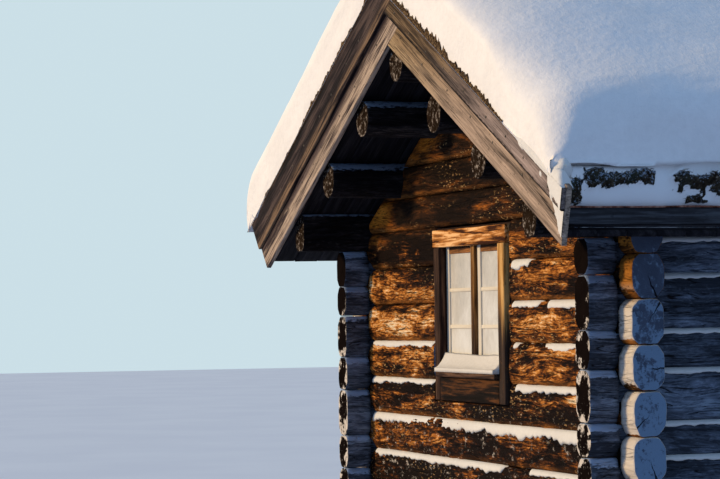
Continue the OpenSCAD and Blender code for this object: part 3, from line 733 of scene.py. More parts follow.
def board_material(name, dark, mid, pale, frost=0.0, frost_colour=FROST_COLOUR, own_grain=True,
                   rough=0.75, contrast=1.0, worn_and_lit_edge=None, worn=0.40, fade=None, shadow_band=0.0):
    """A weathered board: fine long grain, darker streaks, pale low edges of wear and painted light.

    A piece without a grain of its own takes it from its place. worn_and_lit_edge is the colour along
    the low edge, over a share worn of the width: wear and painted sunlight. fade is
    (z, z, colour): another colour below those heights. groove is the share of the width
    along the low edge that is painted dark: a painted shadow line between the boards.
    """
    s = Shader(name, rough, Specular_IOR_Level=0.04)
    grain = s.grain if own_grain else s.place
    fibre = s.noise(grain, (4, 150, 60), 5, 0.6, 0.3)
    streak = s.noise(grain, (1.5, 22, 22), 5, 0.6, 0.5)
    speck = s.noise(grain, (30, 60, 60), 4, 0.6)
    tone = s.weighted(contrast, (fibre, 1.3), (streak, 1.9))
    colour = s.ramp(tone, (0.22, dark), (0.5, mid), (0.8, pale))
    if worn_and_lit_edge is not None:
        # The low edge turns pale: partly wear, partly a painted lit edge.
        reach = (streak - 0.5) * 0.9 + s.look[1]
        colour = s.mix(reach.span(worn - 0.18, worn, 0.9, 0.0), colour,
                       s.mix(tone.span(0.25, 0.75), mid, worn_and_lit_edge))
    if fade is not None:
        low, high, below = fade
        height = (streak - 0.5) * 0.6 + s.z
        colour = s.mix(height.span(low, high), s.mix(tone, BLACK, below), colour)
    colour = s.mix(speck.span(0.58, 0.72, 0.0, 0.6), colour, dark)
    if shadow_band:
        # Painted shadow: a dark line along the low edge, where the upper board's step casts shade.
        reach = (speck - 0.5) * 0.25 + s.look[1]
        colour = s.mix(reach.span(shadow_band * 0.6, shadow_band * 1.3, 0.92, 0.0), colour, BLACK)
    if frost:
        flake = s.noise(grain, (20, 35, 35), 6, 0.7)
        cover = (s.up.span(0.2, 0.8) * frost - 0.5 + flake).span(0.42, 0.60)
        colour = s.mix(cover, colour, frost_colour)
    return s.finish(colour, fibre + streak * 0.6, 0.004, 0.8)


def snow_material(name, colour=SNOW_COLOUR, fineness=1.0):
    """Dry snow: slow drifts, small clumps and powder."""
    s = Shader(name, 0.6, Specular_IOR_Level=0.25)
    drift = s.noise(s.place, 2.2, 4, 0.5)
    powder = s.noise(s.place, 160.0 * fineness, 3, 0.6)
    clump = s.noise(s.place, 26.0 * fineness, 5, 0.6)
    tint = s.mix(drift.span(0.35, 0.65), colour, tuple(min(1, c * 1.06) for c in colour))
    tint = s.mix(clump.span(0.35, 0.7, 0.0, 0.35), tint, tuple(c * 0.9 for c in colour))
    return s.finish(tint, clump + powder * 0.25, 0.008, 0.6)


def turf_material():
    """Dark peat and dry moss where the sods show, packed snow elsewhere."""
    s = Shader("turf_mat", 0.92, Specular_IOR_Level=0.1)
    clod = s.noise(s.place, 38, 6, 0.7)
    moss = s.noise(s.place, 9, 4, 0.6)
    peat = s.ramp(clod, (0.34, (0.008, 0.006, 0.005)), (0.52, (0.040, 0.028, 0.018)),
                  (0.70, (0.14, 0.11, 0.07)))
    peat = s.mix(moss.span(0.5, 0.7, 0, 0.5), peat, (0.035, 0.050, 0.035))
    rime = (s.up * 0.10 + s.noise(s.place, 75, 5, 0.7)).span(0.56, 0.64)
    peat = s.mix(rime * 0.8, peat, FROST_COLOUR)
    bare = ((s.noise(s.place, 60, 4, 0.65) - 0.5) * 1.2 + s.look[0]).span(0.42, 0.58)
    return s.finish(s.mix(bare, SNOW_COLOUR, peat), clod * bare, 0.03)


def fringe_material():
    """Dry grass and peat along the snow's lower edge."""
    s = Shader("turf_fringe", 0.92, Specular_IOR_Level=0.1)
    straw = s.noise(s.place, 90, 4, 0.65)
    colour = s.ramp(straw, (0.36, (0.010, 0.006, 0.004)), (0.5, (0.060, 0.034, 0.016)),
                    (0.66, (0.30, 0.19, 0.09)))
    return s.finish(colour, straw, 0.006)


def blade_material():
    """Dry stems from peat brown to straw, the palest of them rimed."""
    s = Shader("dry_grass", 0.85, Specular_IOR_Level=0.1)
    colour = s.ramp(s.look[0], (0.0, (0.020, 0.013, 0.007)), (0.45, (0.10, 0.060, 0.022)),
                    (0.75, (0.30, 0.20, 0.09)), (1.0, (0.62, 0.62, 0.64)))
    fine = s.noise(s.place, 120, 3, 0.6)
    colour = s.mix(fine.span(0.4, 0.7, 0, 0.4), colour, (0.6, 0.63, 0.68))
    return s.finish(colour, fine, 0.002, 0.5)


def glass_material():
    """Panes under rime: pale, nearly opaque, with feathered frost and a faint gloss."""
    s = Shader("rimed_glass", 0.32, IOR=1.45)
    rime = s.noise(s.place, (7, 7, 4), 6, 0.6, 0.5)
    fern = s.noise(s.place, (40, 40, 22), 6, 0.7, 1.0)
    tone = rime * 0.7 + fern * 0.3 + s.z.span(SASH_LO[2], SASH_HI[2], 0.12, -0.06)
    colour = s.ramp(tone, (0.32, (0.40, 0.375, 0.33)), (0.5, (0.57, 0.53, 0.47)),
                    (0.68, (0.74, 0.71, 0.66)))
    return s.finish(colour, fern, 0.001, 0.3)


def stone_material():
    """Grey field stone, each of its own shade, with lichen."""
    s = Shader("field_stone", 0.9)
    coarse = s.noise(s.grain, 9, 6, 0.65)
    fine = s.noise(s.grain, 70, 5, 0.65)
    colour = s.ramp(coarse, (0.3, (0.10, 0.095, 0.09)), (0.52, (0.20, 0.19, 0.18)),
                    (0.7, (0.34, 0.32, 0.29)))
    colour = s.mix(s.look[0].span(0, 1, 0.0, 0.5), colour, (0.16, 0.13, 0.11))
    lichen = s.noise(s.grain, 14, 5, 0.7).span(0.60, 0.66)
    colour = s.mix(lichen * 0.6, colour, (0.30, 0.32, 0.22))
    return s.finish(colour, coarse + fine * 0.4, 0.02, 0.8)


def iron_material():
    s = Shader("forged_iron", 0.55, Metallic=0.8)
    hammer = s.noise(s.place, 60, 3, 0.5)
    colour = s.ramp(hammer, (0.35, (0.03, 0.028, 0.026)), (0.7, (0.10, 0.075, 0.06)))
    return s.finish(colour, hammer, 0.002, 0.5)


GABLE_STOPS = [(0.30, (0.007, 0.003, 0.002)), (0.43, (0.040, 0.014, 0.006)),
               (0.55, (0.150, 0.046, 0.010)), (0.67, (0.42, 0.132, 0.019)),
               (0.82, (0.78, 0.34, 0.080)), (1.02, (0.98, 0.74, 0.46))]
# Colours high on a gable: painted shade under the eave, reddened and brightened as warm bounce
# light.
EAVE_BOUNCE_STOPS = [(0.30, (0.010, 0.005, 0.003)), (0.42, (0.040, 0.016, 0.007)),
              (0.54, (0.160, 0.050, 0.010)), (0.68, (0.52, 0.152, 0.018)),
              (0.90, (0.88, 0.31, 0.036))]
# Blue-grey wood: weathered grey, with the blue of the shade painted in.
SIDE_STOPS = [(0.28, (0.034, 0.040, 0.053)), (0.48, (0.090, 0.106, 0.138)),
              (0.68, (0.160, 0.190, 0.250)), (0.90, (0.28, 0.34, 0.42))]
# Near black: painted shade under the roof.
PURLIN_STOPS = [(0.34, (0.006, 0.005, 0.006)), (0.52, (0.014, 0.012, 0.014)),
                (0.70, (0.034, 0.028, 0.028)), (0.90, (0.080, 0.065, 0.058))]

MAT = {
    "gable": log_material("gable_log", GABLE_STOPS, (0.74, 0.44, 0.18), speck=0.6,
                          low_frost=0.37, tail_frost=0.66, frost_colour=(0.76, 0.66, 0.56),
                          # Golden bevels that face down: painted bounce light. Golden frost high on
                          # the wall: painted sunlight.
                          warmth=0.40, bounce_lit_edge=(0.66, 0.235, 0.042), sunlit_gold=(0.80, 0.30, 0.045),
                          # Smooth, redder colours high on the gable: painted shade under the eave
                          # with warm bounce light.
                          eave_bounce=(1.93, 2.02, EAVE_BOUNCE_STOPS)),
    # Blue-grey end grain and dim blue frost: painted shade.
    "gable_end": end_material("gable_log_end", (0.054, 0.062, 0.086), (0.098, 0.120, 0.168),
                              0.34, 0.58, (0.19, 0.27, 0.37)),
    # Blue-grey wood and blue frost on the side walls: painted shade.
    "side": log_material("side_log", SIDE_STOPS, (0.30, 0.36, 0.46), speck=0.25, spread=0.8,
                         frost=0.55, low_frost=0.12, tail_frost=0.20,
                         frost_colour=(0.36, 0.45, 0.60)),
    "side_end": end_material("side_log_end", (0.004, 0.003, 0.003), (0.011, 0.007, 0.006),
                             0.20, 0.34, (0.70, 0.62, 0.54), rim=0.24),
    # Near black wood, dim blue frost and dark ends: painted shade under the roof.
    "purlin": log_material("purlin_log", PURLIN_STOPS, (0.10, 0.09, 0.09), speck=0.2,
                           spread=0.8, frost=0.62, frost_colour=(0.30, 0.38, 0.50)),
    "purlin_end": end_material("purlin_end", (0.004, 0.003, 0.002), (0.034, 0.020, 0.012),
                               0.40, 0.42, (0.34, 0.28, 0.23), rim=0.10),
    # Near black boards: painted shade under the roof.
    "soffit": board_material("soffit_board", (0.005, 0.005, 0.007), (0.012, 0.011, 0.014),
                             (0.030, 0.027, 0.030)),
    "barge_low_left": board_material("lower_barge_left", (0.008, 0.005, 0.007),
                                     (0.036, 0.024, 0.026), (0.13, 0.095, 0.086),
                                     worn_and_lit_edge=(0.56, 0.42, 0.31), contrast=1.1, worn=0.52),
    "barge_up_left": board_material("upper_barge_left", (0.006, 0.004, 0.004),
                                    (0.022, 0.015, 0.016), (0.085, 0.058, 0.050),
                                    worn_and_lit_edge=(0.27, 0.170, 0.100), contrast=1.1, worn=0.34),
    "barge_right": board_material("right_barge", (0.024, 0.015, 0.009), (0.100, 0.065, 0.036),
                                  (0.30, 0.20, 0.11), contrast=1.2,
                                  fade=(2.45, 3.05, (0.58, 0.42, 0.31)),
                                  worn_and_lit_edge=(0.42, 0.29, 0.16)),
    "barge_up_right": board_material("upper_right_barge", (0.018, 0.012, 0.008),
                                     (0.072, 0.046, 0.027), (0.22, 0.145, 0.080), contrast=1.2,
                                     # A dark line along the low edge: painted shadow between the
                                     # boards.
                                     fade=(2.45, 2.95, (0.42, 0.32, 0.28)), shadow_band=0.13),
    "eave": board_material("eave_board", (0.018, 0.018, 0.020), (0.034, 0.034, 0.038),
                           (0.075, 0.078, 0.086), frost=0.4),
    "casing": board_material("casing_board", (0.045, 0.014, 0.006), (0.48, 0.180, 0.040),
                             (0.92, 0.52, 0.23), contrast=1.5),
    "casing_right": board_material("right_casing", (0.16, 0.065, 0.018), (0.50, 0.25, 0.070),
                                   (0.74, 0.45, 0.17), fade=(1.45, 1.72, (0.075, 0.048, 0.036))),
    "casing_dark": board_material("dark_casing", (0.008, 0.004, 0.004), (0.034, 0.018, 0.013),
                                  (0.13, 0.070, 0.042)),
    "apron": board_material("apron_board", (0.005, 0.003, 0.002), (0.013, 0.007, 0.005),
                            (0.105, 0.040, 0.013), contrast=1.2),
    "mullion": board_material("mullion_post", (0.045, 0.018, 0.006), (0.19, 0.085, 0.024),
                              (0.42, 0.22, 0.075), fade=(1.30, 1.75, (0.050, 0.030, 0.022))),
    "sash": board_material("sash_wood", (0.56, 0.49, 0.38), (0.70, 0.62, 0.50),
                           (0.78, 0.70, 0.57), rough=0.6, contrast=0.5),
    # Darker brown top rails: the rail's own brown, with painted shade under the lintel.
    "sash_head": board_material("sash_head", (0.020, 0.010, 0.007), (0.10, 0.045, 0.020),
                                (0.36, 0.15, 0.05)),
    "plain": board_material("plain_board", (0.05, 0.03, 0.016), (0.16, 0.10, 0.055),
                            (0.30, 0.20, 0.115), own_grain=False),
    "bark": board_material("bark_sheet", (0.05, 0.018, 0.012), (0.22, 0.075, 0.045),
                           (0.40, 0.22, 0.16), own_grain=False),
    "snow": snow_material("roof_snow_mat"),
    "ledge_snow": snow_material("ledge_snow_mat", (0.70, 0.67, 0.63), 1.6),
    # Darker, creamier snow on the sill: painted shade from the casing.
    "sill_snow": snow_material("sill_snow_mat", (0.65, 0.61, 0.56), 1.6),
    "turf": turf_material(),
    "fringe": fringe_material(),
    "blade": blade_material(),
    "glass": glass_material(),
    "stone": stone_material(),
    "iron": iron_material(),
}
KEPT_NODES = {
    "floor": "plain", "floor_joists": "plain", "window_frame": "casing_dark",
    "door_frame": "plain", "door_threshold": "plain", "door_handle": "plain",
    "left_birch_bark": "bark", "right_birch_bark": "bark", "window_glass": "glass",
    "door_hinges": "iron",
}


def bared_and_lit_wood(x, z):
    """How far a gable's wood shows golden at x and z, from bared wood and painted light, from 0 to
    about 1.
    """
    amount = 0.16 + 0.22 * field(41, 3, x * 1.1, z * 4)
    amount += 0.10 * smooth((2.0 - np.abs(z - 1.6) * 3) / 2)
    for px, pz, half_x, half_z, gain in BARED_AND_LIT_PATCHES:
        amount += gain * np.exp(-np.abs((x - px) / half_x) ** 3 - np.abs((z - pz) / half_z) ** 3)
    return np.clip(amount, 0, 1.3)


def notch_zones(centre, low, high):
    """Corner notches, as (start, end, low, high, half thickness) along a log."""
    half = LOG_T / 2
    return [(s * centre - half, s * centre + half, low, high, half - NECK_IN) for s in (-1, 1)]


def gable_wall(name, node, y, hole_x, hole_half, hole_low, seed, spacing):
    """The full courses of a gable wall, cut at its window or door."""
    build = Build()
    reach = HALF_W + TAIL
    facing = -math.copysign(1, y)
    hole_lo, hole_hi = hole_x - hole_half, hole_x + hole_half
    for k in range(COURSES):
        z0 = FOOT_TOP + k * COURSE
        tint = rng.random()
        zones = notch_zones(SIDE_X, z0 + COURSE / 4, z0 + COURSE * 3 / 4)
        top = (lambda x: under(x) - 0.006) if k == COURSES - 1 else None
        spans = [(-reach, reach)]
        if z0 + 0.01 > hole_low:
            spans = [(-reach, hole_lo), (hole_hi, reach)]
        elif z0 + COURSE > hole_low + 0.01:
            zones.append((hole_lo, hole_hi, z0, hole_low, LOG_T / 2))
        for i, (a0, a1) in enumerate(spans):
            log(build, "x", a0, a1, y, z0, COURSE, LOG_T, seed + k * 3 + i, zones, tint=tint,
                top=top, wall=HALF_W - LOG_T, warm=lambda x, z: bared_and_lit_wood(x * facing, z),
                spacing=spacing)
    build.piece(name, ["gable", "gable_end"], "log_wood", [node])


def side_wall(name, node, side, seed):
    """The half log and the courses of a side wall."""
    build = Build()
    reach = HALF_L + TAIL
    x = side * SIDE_X
    log(build, "y", -reach, reach, x, FOOT_TOP, COURSE / 2, LOG_T, seed,
        notch_zones(GABLE_Y, FOOT_TOP, FOOT_TOP + COURSE / 4))
    for k in range(COURSES - 1):
        z0 = side_joint(side, k)
        zones = notch_zones(GABLE_Y, FOOT_TOP + COURSE * (k + 0.75), FOOT_TOP + COURSE * (k + 1.25))
        log(build, "y", -reach, reach, x, z0, side_joint(side, k + 1) - z0, LOG_T, seed + 1 + k,
            zones, tint=rng.random(), wall=HALF_L - LOG_T)
    build.piece(name, ["side", "side_end"], "log_wood", [node])


def gable_triangle(name, node, side, seed, spacing):
    """The logs of a gable triangle with raking, bevelled ends."""
    build = Build()
    inner = HALF_W - LOG_T
    for k in range(GABLE_ROWS):
        z0 = WALL_TOP + k * GABLE_COURSE
        mid = min(inner, (APEX - z0 - GABLE_COURSE / 2) / TAN)
        log(build, "x", -mid, mid, side * GABLE_Y, z0, GABLE_COURSE, LOG_T, seed + k,
            rake=lambda z: np.minimum(inner, (APEX - 0.008 - z) / TAN), tint=rng.random(),
            wall=HALF_W, warm=lambda x, z: bared_and_lit_wood(-side * x, z), spacing=spacing)
    for block in build.points:
        depth = (under(block[:, 0]) - block[:, 2]) * COS
        cut = np.clip(1 - depth / RAKE_W, 0, 1) * RAKE_IN
        outward = block[:, 1] * side
        limited = np.minimum(outward, HALF_L - cut)
        block[:, 1] = side * np.where(cut > 0, limited, outward)
    build.piece(name, ["gable", "gable_end"], "log_wood", [node])


def purlin(node, seed, cuts=None, crisp=9):
    """A purlin or wall plate where its node lies, hewn flat under the roof boards."""
    build = Build()
    lo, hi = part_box(node)
    thick = height = hi[0] - lo[0]
    if cuts is None:
        cuts = [(0.29 * thick, 0.29 * thick)] * 4
    else:
        height = hi[2] - lo[2]
    log(build, "y", lo[1], hi[1], (lo[0] + hi[0]) / 2, lo[2], height, thick, seed, cuts=cuts,
        crisp=crisp, tint=rng.random(), top=lambda px: under(px) - 0.001, rough=0.8)
    build.piece(f"{node}_log", ["purlin", "purlin_end"], "log_wood", [node])


def make_logs():
    """The four walls, the two gable triangles, the wall plates and the purlins."""
    gable_wall("front_wall_logs", "front_wall", -GABLE_Y, WINDOW_X, WINDOW_HALF, WINDOW_LOW, 10,
               FRONT_STEP)
    gable_wall("back_wall_logs", "back_wall", GABLE_Y, 0, DOOR_HALF, FOOT_TOP + COURSE, 60,
               BACK_STEP)
    side_wall("left_wall_logs", "left_wall", -1, 110)
    side_wall("right_wall_logs", "right_wall", 1, 140)
    gable_triangle("front_gable_logs", "front_gable", -1, 170, FRONT_STEP)
    gable_triangle("back_gable_logs", "back_gable", 1, 190, BACK_STEP)
    plate_cuts = [(0.032, 0.050)] * 4
    for i, (_, word) in enumerate(SIDES):
        for j, level in enumerate(("lower", "upper")):
            purlin(f"{word}_{level}_purlin", 210 + 4 * i + j)
        purlin(f"{word}_wall_plate", 230 + i, cuts=plate_cuts, crisp=26)
    purlin("ridge_purlin", 240)


def ledge_snow(build, axis, a0, a1, face, joint, seed, height, cover=1.0):
    """Snow drifted into the hollow over a log's upper bevel, with a ragged lower edge.

    face is the signed place of the wall's face, joint the height of the logs' joint.
    cover is how much of the length carries snow, from 0 to 1.
    """
    s = np.linspace(a0, a1, max(8, int((a1 - a0) / LEDGE_STEP)) + 1)
    out = math.copysign(1, face)
    drift = field(seed, 2, s * 1.3, seed)
    lobes = field(seed + 7, 3, s * 6, seed)
    rags = field(seed + 9, 2, s * 34, seed)
    amount = smooth((drift + 0.4 * lobes - (0.55 - 1.9 * cover)) / 0.35)
    amount *= smooth(np.minimum(s - a0, a1 - s) / 0.05)
    low = height * np.clip(0.86 + 0.28 * lobes + 0.20 * rags, 0.35, 1.35)
    section = [(-LEDGE_IN, 0.004, 0), (-0.016, 0.005, 0), (-0.006, 0, 0.12), (0.001, 0, 0.40),
               (0.0035, 0, 0.75), (0.0, 0, 1.0), (-LEDGE_IN, 0, 0.85)]
    rows = []
    for depth, lift, share in section:
        d = -LEDGE_IN + (depth + LEDGE_IN) * amount + 0.0015 * rags * (0 < share < 1)
        z = joint + (lift - share * low) * amount
        across = face + out * d
        rows.append(np.stack([s, across, z] if axis == "x" else [across, s, z], axis=-1))
    build.sweep(rows, (axis == "x") == (out > 0))


def make_ledge_snow():
    """Snow in the grooves between the logs, more of it low down, as it has drifted."""
    front, back = Build(), Build()
    for k, ledges in SNOW_LEDGES.items():
        joint = FOOT_TOP + k * COURSE
        for i, (x0, x1, height) in enumerate(ledges):
            ledge_snow(front, "x", x0, x1, -HALF_L, joint, 2000 + 5 * k + i, height)
        for i, (x0, x1) in enumerate(((-1.62, -DOOR_HALF - 0.03), (DOOR_HALF + 0.03, 1.62))):
            ledge_snow(back, "x", x0, x1, HALF_L, joint, 2100 + 5 * k + i, 0.036,
                       0.9 if k < 7 else 0.45)
    front.piece("front_ledge_snow", ["ledge_snow"], "snow")
    back.piece("back_ledge_snow", ["ledge_snow"], "snow")
    edge = HALF_L - LOG_T + 0.01
    for side, word in SIDES:
        build = Build()
        for k in range(1, COURSES):
            ledge_snow(build, "y", -edge, edge, side * HALF_W, side_joint(side, k),
                       2200 + 9 * k + side, 0.024, 0.90 if k < COURSES - 1 else 0.4)
        build.piece(f"{word}_ledge_snow", ["ledge_snow"], "snow")


def make_roof_boards():
    """Single boards from the ridge to the eave, seen from below."""
    count = round(2 * ROOF_Y / BOARD_W)
    width = 2 * ROOF_Y / count
    for side, word in SIDES:
        build = Build()
        for i in range(count):
            lift = 0.002 + rng.uniform(-0.0015, 0.0015)
            origin = [0, -ROOF_Y + i * width + 0.001, on_slope(0, lift)]
            place = placer(origin, [side * COS, 0, -SIN], [0, 1, 0], [side * SIN, 0, COS])
            board(build, place, (EAVE_X / COS, width - 0.003, BOARD_T - 0.004),
                  300 + i + 60 * side, spacing=0.25, tint=rng.random())
        build.piece(f"{word}_roof_planks", ["soffit"], "plank_wood", [f"{word}_roof_boards"])


def barge_stop(v, hand):
    """Where the slanting low end of a bargeboard lies at v."""
    return EAVE_X + BARGE_REACH + SLANT[hand] * (v - LOWER_V)


def barge(build, side, end, low_v, width, rival_w, thick, y_front, seed):
    """One bargeboard of a gable. The left one, seen from outside, runs past the ridge and the
    right one, of width rival_w or width, butts against its lower edge."""
    hand = "left" if side == end else "right"

    def ends(w):
        v = low_v + w
        start_x = (w - rival_w) / (2 * SIN) if hand == "left" else w / (2 * SIN) + 0.001
        return (start_x - SIN * v) / COS, (barge_stop(v, hand) - SIN * v) / COS

    across = np.array([side * SIN, 0, COS])
    place = placer(np.array([0, end * y_front, APEX]) + across * low_v, [side * COS, 0, -SIN],
                   across, [0, -end, 0])
    board(build, place, (EAVE_X / COS, width, thick), seed, 0.004, 0.06, 0.0018,
          slot=0 if hand == "left" else 1, tint=rng.random(), ends=ends)


def nails(build, side, end, v, y_face, count, seed):
    """Forged, domed nail heads along a bargeboard."""
    spots = np.random.default_rng(seed)
    around, radius = 9, 0.0065
    turn = np.linspace(0, 2 * math.pi, around, endpoint=False)[:, None]
    axis = np.array([0.0, end, 0.0])
    u = np.cross(axis, [0.3, 0.2, 0.9])
    u /= np.linalg.norm(u)
    ring = np.cos(turn) * u + np.sin(turn) * np.cross(axis, u)
    domes = [share * ring + lift * axis
             for share, lift in ((1.0, -0.3), (1.0, 0.1), (0.75, 0.35), (0.35, 0.48))]
    head = radius * np.concatenate(domes + [[0.5 * axis]])
    faces = [tube_quads(len(domes), around),
             fan_tris((len(domes) - 1) * around, around, len(head) - 1)]
    for i in range(count):
        x = EAVE_X * (i + 0.6 + spots.uniform(-0.15, 0.15)) / count
        z = on_slope(x, v + spots.uniform(-0.012, 0.012))
        build.add(head + [side * x, end * y_face, z], faces)


def make_bargeboards():
    """Two boards on each rake, one over the other, with their nails."""
    for end, word in ENDS:
        lower, upper, heads = Build(), Build(), Build()
        for side, _ in SIDES:
            seed = 400 + side + 10 * (end + 1)
            width = UPPER_W["left" if side == end else "right"]
            barge(lower, side, end, LOWER_V, LOWER_W, LOWER_W, LOWER_T, BARGE_Y, seed)
            barge(upper, side, end, UPPER_V, width, UPPER_W["right"], UPPER_T, UPPER_Y, seed + 50)
            nails(heads, side, end, UPPER_V + width * 0.45, UPPER_Y, 9, seed + 90)
            nails(heads, side, end, UPPER_V - 0.055, BARGE_Y, 7, seed + 91)
        lower.piece(f"{word}_lower_barge", ["barge_low_left", "barge_right"], "grey_board",
                    [f"{word}_lower_bargeboards"])
        upper.piece(f"{word}_upper_barge", ["barge_up_left", "barge_up_right"], "grey_board",
                    [f"{word}_upper_bargeboards"])
        heads.piece(f"{word}_barge_nails", ["iron"], "black_iron")


def make_eave_boards():
    """The board that holds the turf, its lower half set back and near black as painted shade, and a
    strip of bark on top.
    """
    for side, word in SIDES:
        build = Build()
        lo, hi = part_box(f"{word}_eave_board")
        inner, outer = sorted([abs(lo[0]), abs(hi[0])])
        split = hi[2] - EAVE_FACE_H
        # The lower half takes the near black soffit colour: painted shade.
        for slot, z0, z1, setback in ((0, split, hi[2], 0), (1, lo[2], split - 0.001, EAVE_SETBACK)):
            x0, x1 = sorted([side * inner, side * (outer - setback)])
            place = placer([x0, lo[1], z0], [0, 1, 0], [1, 0, 0], [0, 0, 1])
            board(build, place, (hi[1] - lo[1], x1 - x0, z1 - z0), 430 + side + 4 * slot, 0.004,
                  0.08, 0.002, slot=slot)
        x0, x1 = sorted([side * (EAVE_X - 0.040), side * (EAVE_X + 0.005)])
        boxed(build, [x0, lo[1] + 0.002, hi[2] - 0.001], [x1, hi[1] - 0.002, hi[2] + 0.007],
              440 + side, 2, 0.002, 1, wobble=0.003)
        build.piece(f"{word}_turf_board", ["eave", "soffit", "bark"], "grey_board",
                    [f"{word}_eave_board"])


def snow_reach(y):
    """Reach of the right slope's snow past the turf board at y, with its lip at the back."""
    lip = LIP_REACH - (SNOW_Y - y) * LIP_TAN
    return SNOW_REACH + 0.5 * (lip - SNOW_REACH + math.sqrt((lip - SNOW_REACH) ** 2 + 0.02**2))


def snow_profile(reach, top_v, roll):
    """The snow's outline at one station, from under the eave up to the ridge, as x and z.

    roll is the radius over the eave.
    """
    out_x = EAVE_X + reach
    low_z = EAVE_TOP + SNOW_LOW_H
    centre_x = out_x - roll
    centre_z = on_slope(centre_x, top_v - roll)
    toe_x = out_x - 0.32 * reach - 0.02 - 0.018 * (1 - smooth((reach - 0.06) / 0.1))
    stop = math.pi / 2 - SLOPE
    turn = np.linspace(math.radians(-100 * reach), stop, 18)
    arc = np.stack([centre_x + roll * np.cos(turn), centre_z + roll * np.sin(turn)])
    toe = np.stack([np.linspace(EAVE_X - 0.05, toe_x, 4), np.full(4, low_z)])
    side = np.stack([np.linspace(toe_x + 0.02, arc[0, 0], 7),
                     np.linspace(low_z + 0.015, arc[1, 0], 7)])[:, :-1]
    turn = np.linspace(stop, math.pi / 2, 9)
    ridge = np.stack([SNOW_RIDGE * np.cos(turn),
                      APEX + (top_v - SNOW_RIDGE) / COS + SNOW_RIDGE * np.sin(turn)])
    share = np.linspace(0, 1, 58)[1:-1]
    slope = arc[:, -1:] + (ridge[:, :1] - arc[:, -1:]) * share
    return np.concatenate([toe, side, arc, slope, ridge], axis=1)


def snow_drop(y, end):
    """How far the snow's top lies lower at y, near the end -1 or 1 of a slope."""
    gap = max(0.0, 1 - (SNOW_Y - abs(y)) / SNOW_BEVEL_IN[end])
    return SNOW_BEVEL_H[end] * (1 - math.sqrt(1 - gap**2))


def snow_station(y):
    """The snow's outline across the right slope at y. Its front corner leans back and rounds."""
    end = 1 if y > 0 else -1
    drop = snow_drop(y, end)
    front = float(smooth((SNOW_FRONT_Y - y) / SNOW_FRONT_RUN))
    roll = SNOW_ROLL + (SNOW_FRONT_ROLL - SNOW_ROLL) * front
    x, z = snow_profile(snow_reach(y), SNOW_V - drop, roll)
    extra = max(0.0, snow_drop(y, -end) - drop) / COS
    z = z - extra * (1 - smooth(x / SNOW_FADE)) * (z > APEX)
    share = np.clip((z - z[0]) / SNOW_CORNER_H, 0, 1)
    lean = front * SNOW_LEAN * share**0.8
    if end < 0:
        radius = SNOW_CORNER[0] + (SNOW_CORNER[1] - SNOW_CORNER[0]) * share**0.6
        gap = np.clip(1 - (SNOW_Y - abs(y)) / radius, 0, 1)
        lean = lean + radius * (1 - np.sqrt(1 - gap**2))
    x = x - smooth((x - (EAVE_X - SNOW_FADE)) / SNOW_FADE) * lean
    return np.column_stack([x, np.full(len(x), y), z])


def snow_surface(ys, seed):
    """The snow's outer face at the stations ys, with swells, lumps and a ragged lower edge."""
    grid = np.array([snow_station(y) for y in ys])
    flat = grid.reshape(-1, 3)
    shift = seed * 1.7
    lump = fbm(flat * [1.1, 0.9, 1.1] + shift, seed, 3)
    small = fbm(flat * [5, 4, 5] + shift, seed + 4, 3)
    tiny = fbm(flat * 24 + shift, seed + 8, 2)
    near_eave = smooth((flat[:, 0] - (EAVE_X - 0.30)) / 0.25)
    wave = -0.012 * (0.6 + lump * 0.6) + 0.004 * small + 0.0018 * tiny
    wave -= near_eave * 0.020 * np.clip(0.3 + lump + small * 0.6, 0, 1)
    wave = np.minimum(wave * smooth(flat[:, 0] / 0.45), 0)
    across = np.roll(grid, -1, axis=1) - np.roll(grid, 1, axis=1)
    across[:, 0], across[:, -1] = across[:, 1], [-1, 0, 0]
    normal = (across[..., [2, 1, 0]] * [1, 0, -1]).reshape(-1, 3)
    flat += normal / np.linalg.norm(normal, axis=1)[:, None] * wave[:, None]
    flat[:, 0] = np.maximum(flat[:, 0], 0)
    grid[:, :SNOW_TOE, 2] -= 0.032 * field(seed + 12, 3, ys * 3.1 + shift)[:, None]
    return grid


def snow_seat(grid):
    """The snow's underside on the turf and, past it, on the upper bargeboards. What would
    lie below it comes up to it, and so does the toe over the front bargeboard."""
    flat = grid.reshape(-1, 3)
    x, y = flat[:, 0].copy(), flat[:, 1]
    past = np.abs(y) > ROOF_Y
    seat_v = np.where(past, UPPER_V + np.where(y < 0, UPPER_W["right"], UPPER_W["left"]),
                      TURF_V - 0.02)
    floor_z = np.where(past & (x < EAVE_X + 0.07), on_slope(x, seat_v), -9) + 0.004
    toe = (np.arange(len(flat)) % grid.shape[1] < SNOW_TOE) & (y < -ROOF_Y)
    flat[:, 2] = np.where(toe, floor_z, np.maximum(flat[:, 2], floor_z))
    x = np.where(past, x, np.minimum(x, EAVE_X - 0.06))
    return np.column_stack([x, y, np.minimum(on_slope(x, seat_v), flat[:, 2] - 0.002)])


def snow_end(top, low, outward, seed):
    """The snow's face at a gable, between its top and its seat, worn a little hollow."""
    share = np.linspace(0, 1, SNOW_END_STEPS)[:, None, None]
    face = (top + (low - top) * share).reshape(-1, 3)
    down = np.repeat(share.ravel(), len(top))
    dent = 0.5 + 0.5 * fbm(face * [6, 1, 6] + seed * 1.7, seed + 20, 3)
    depth = 0.002 + 0.010 * smooth((face[:, 0] - 0.35) / 0.4)
    depth = depth * np.clip(dent, 0, 1) * np.sin(math.pi * down)
    depth += 0.009 * smooth((down - 0.70) / 0.15)
    face[:, 1] -= outward * depth
    return face


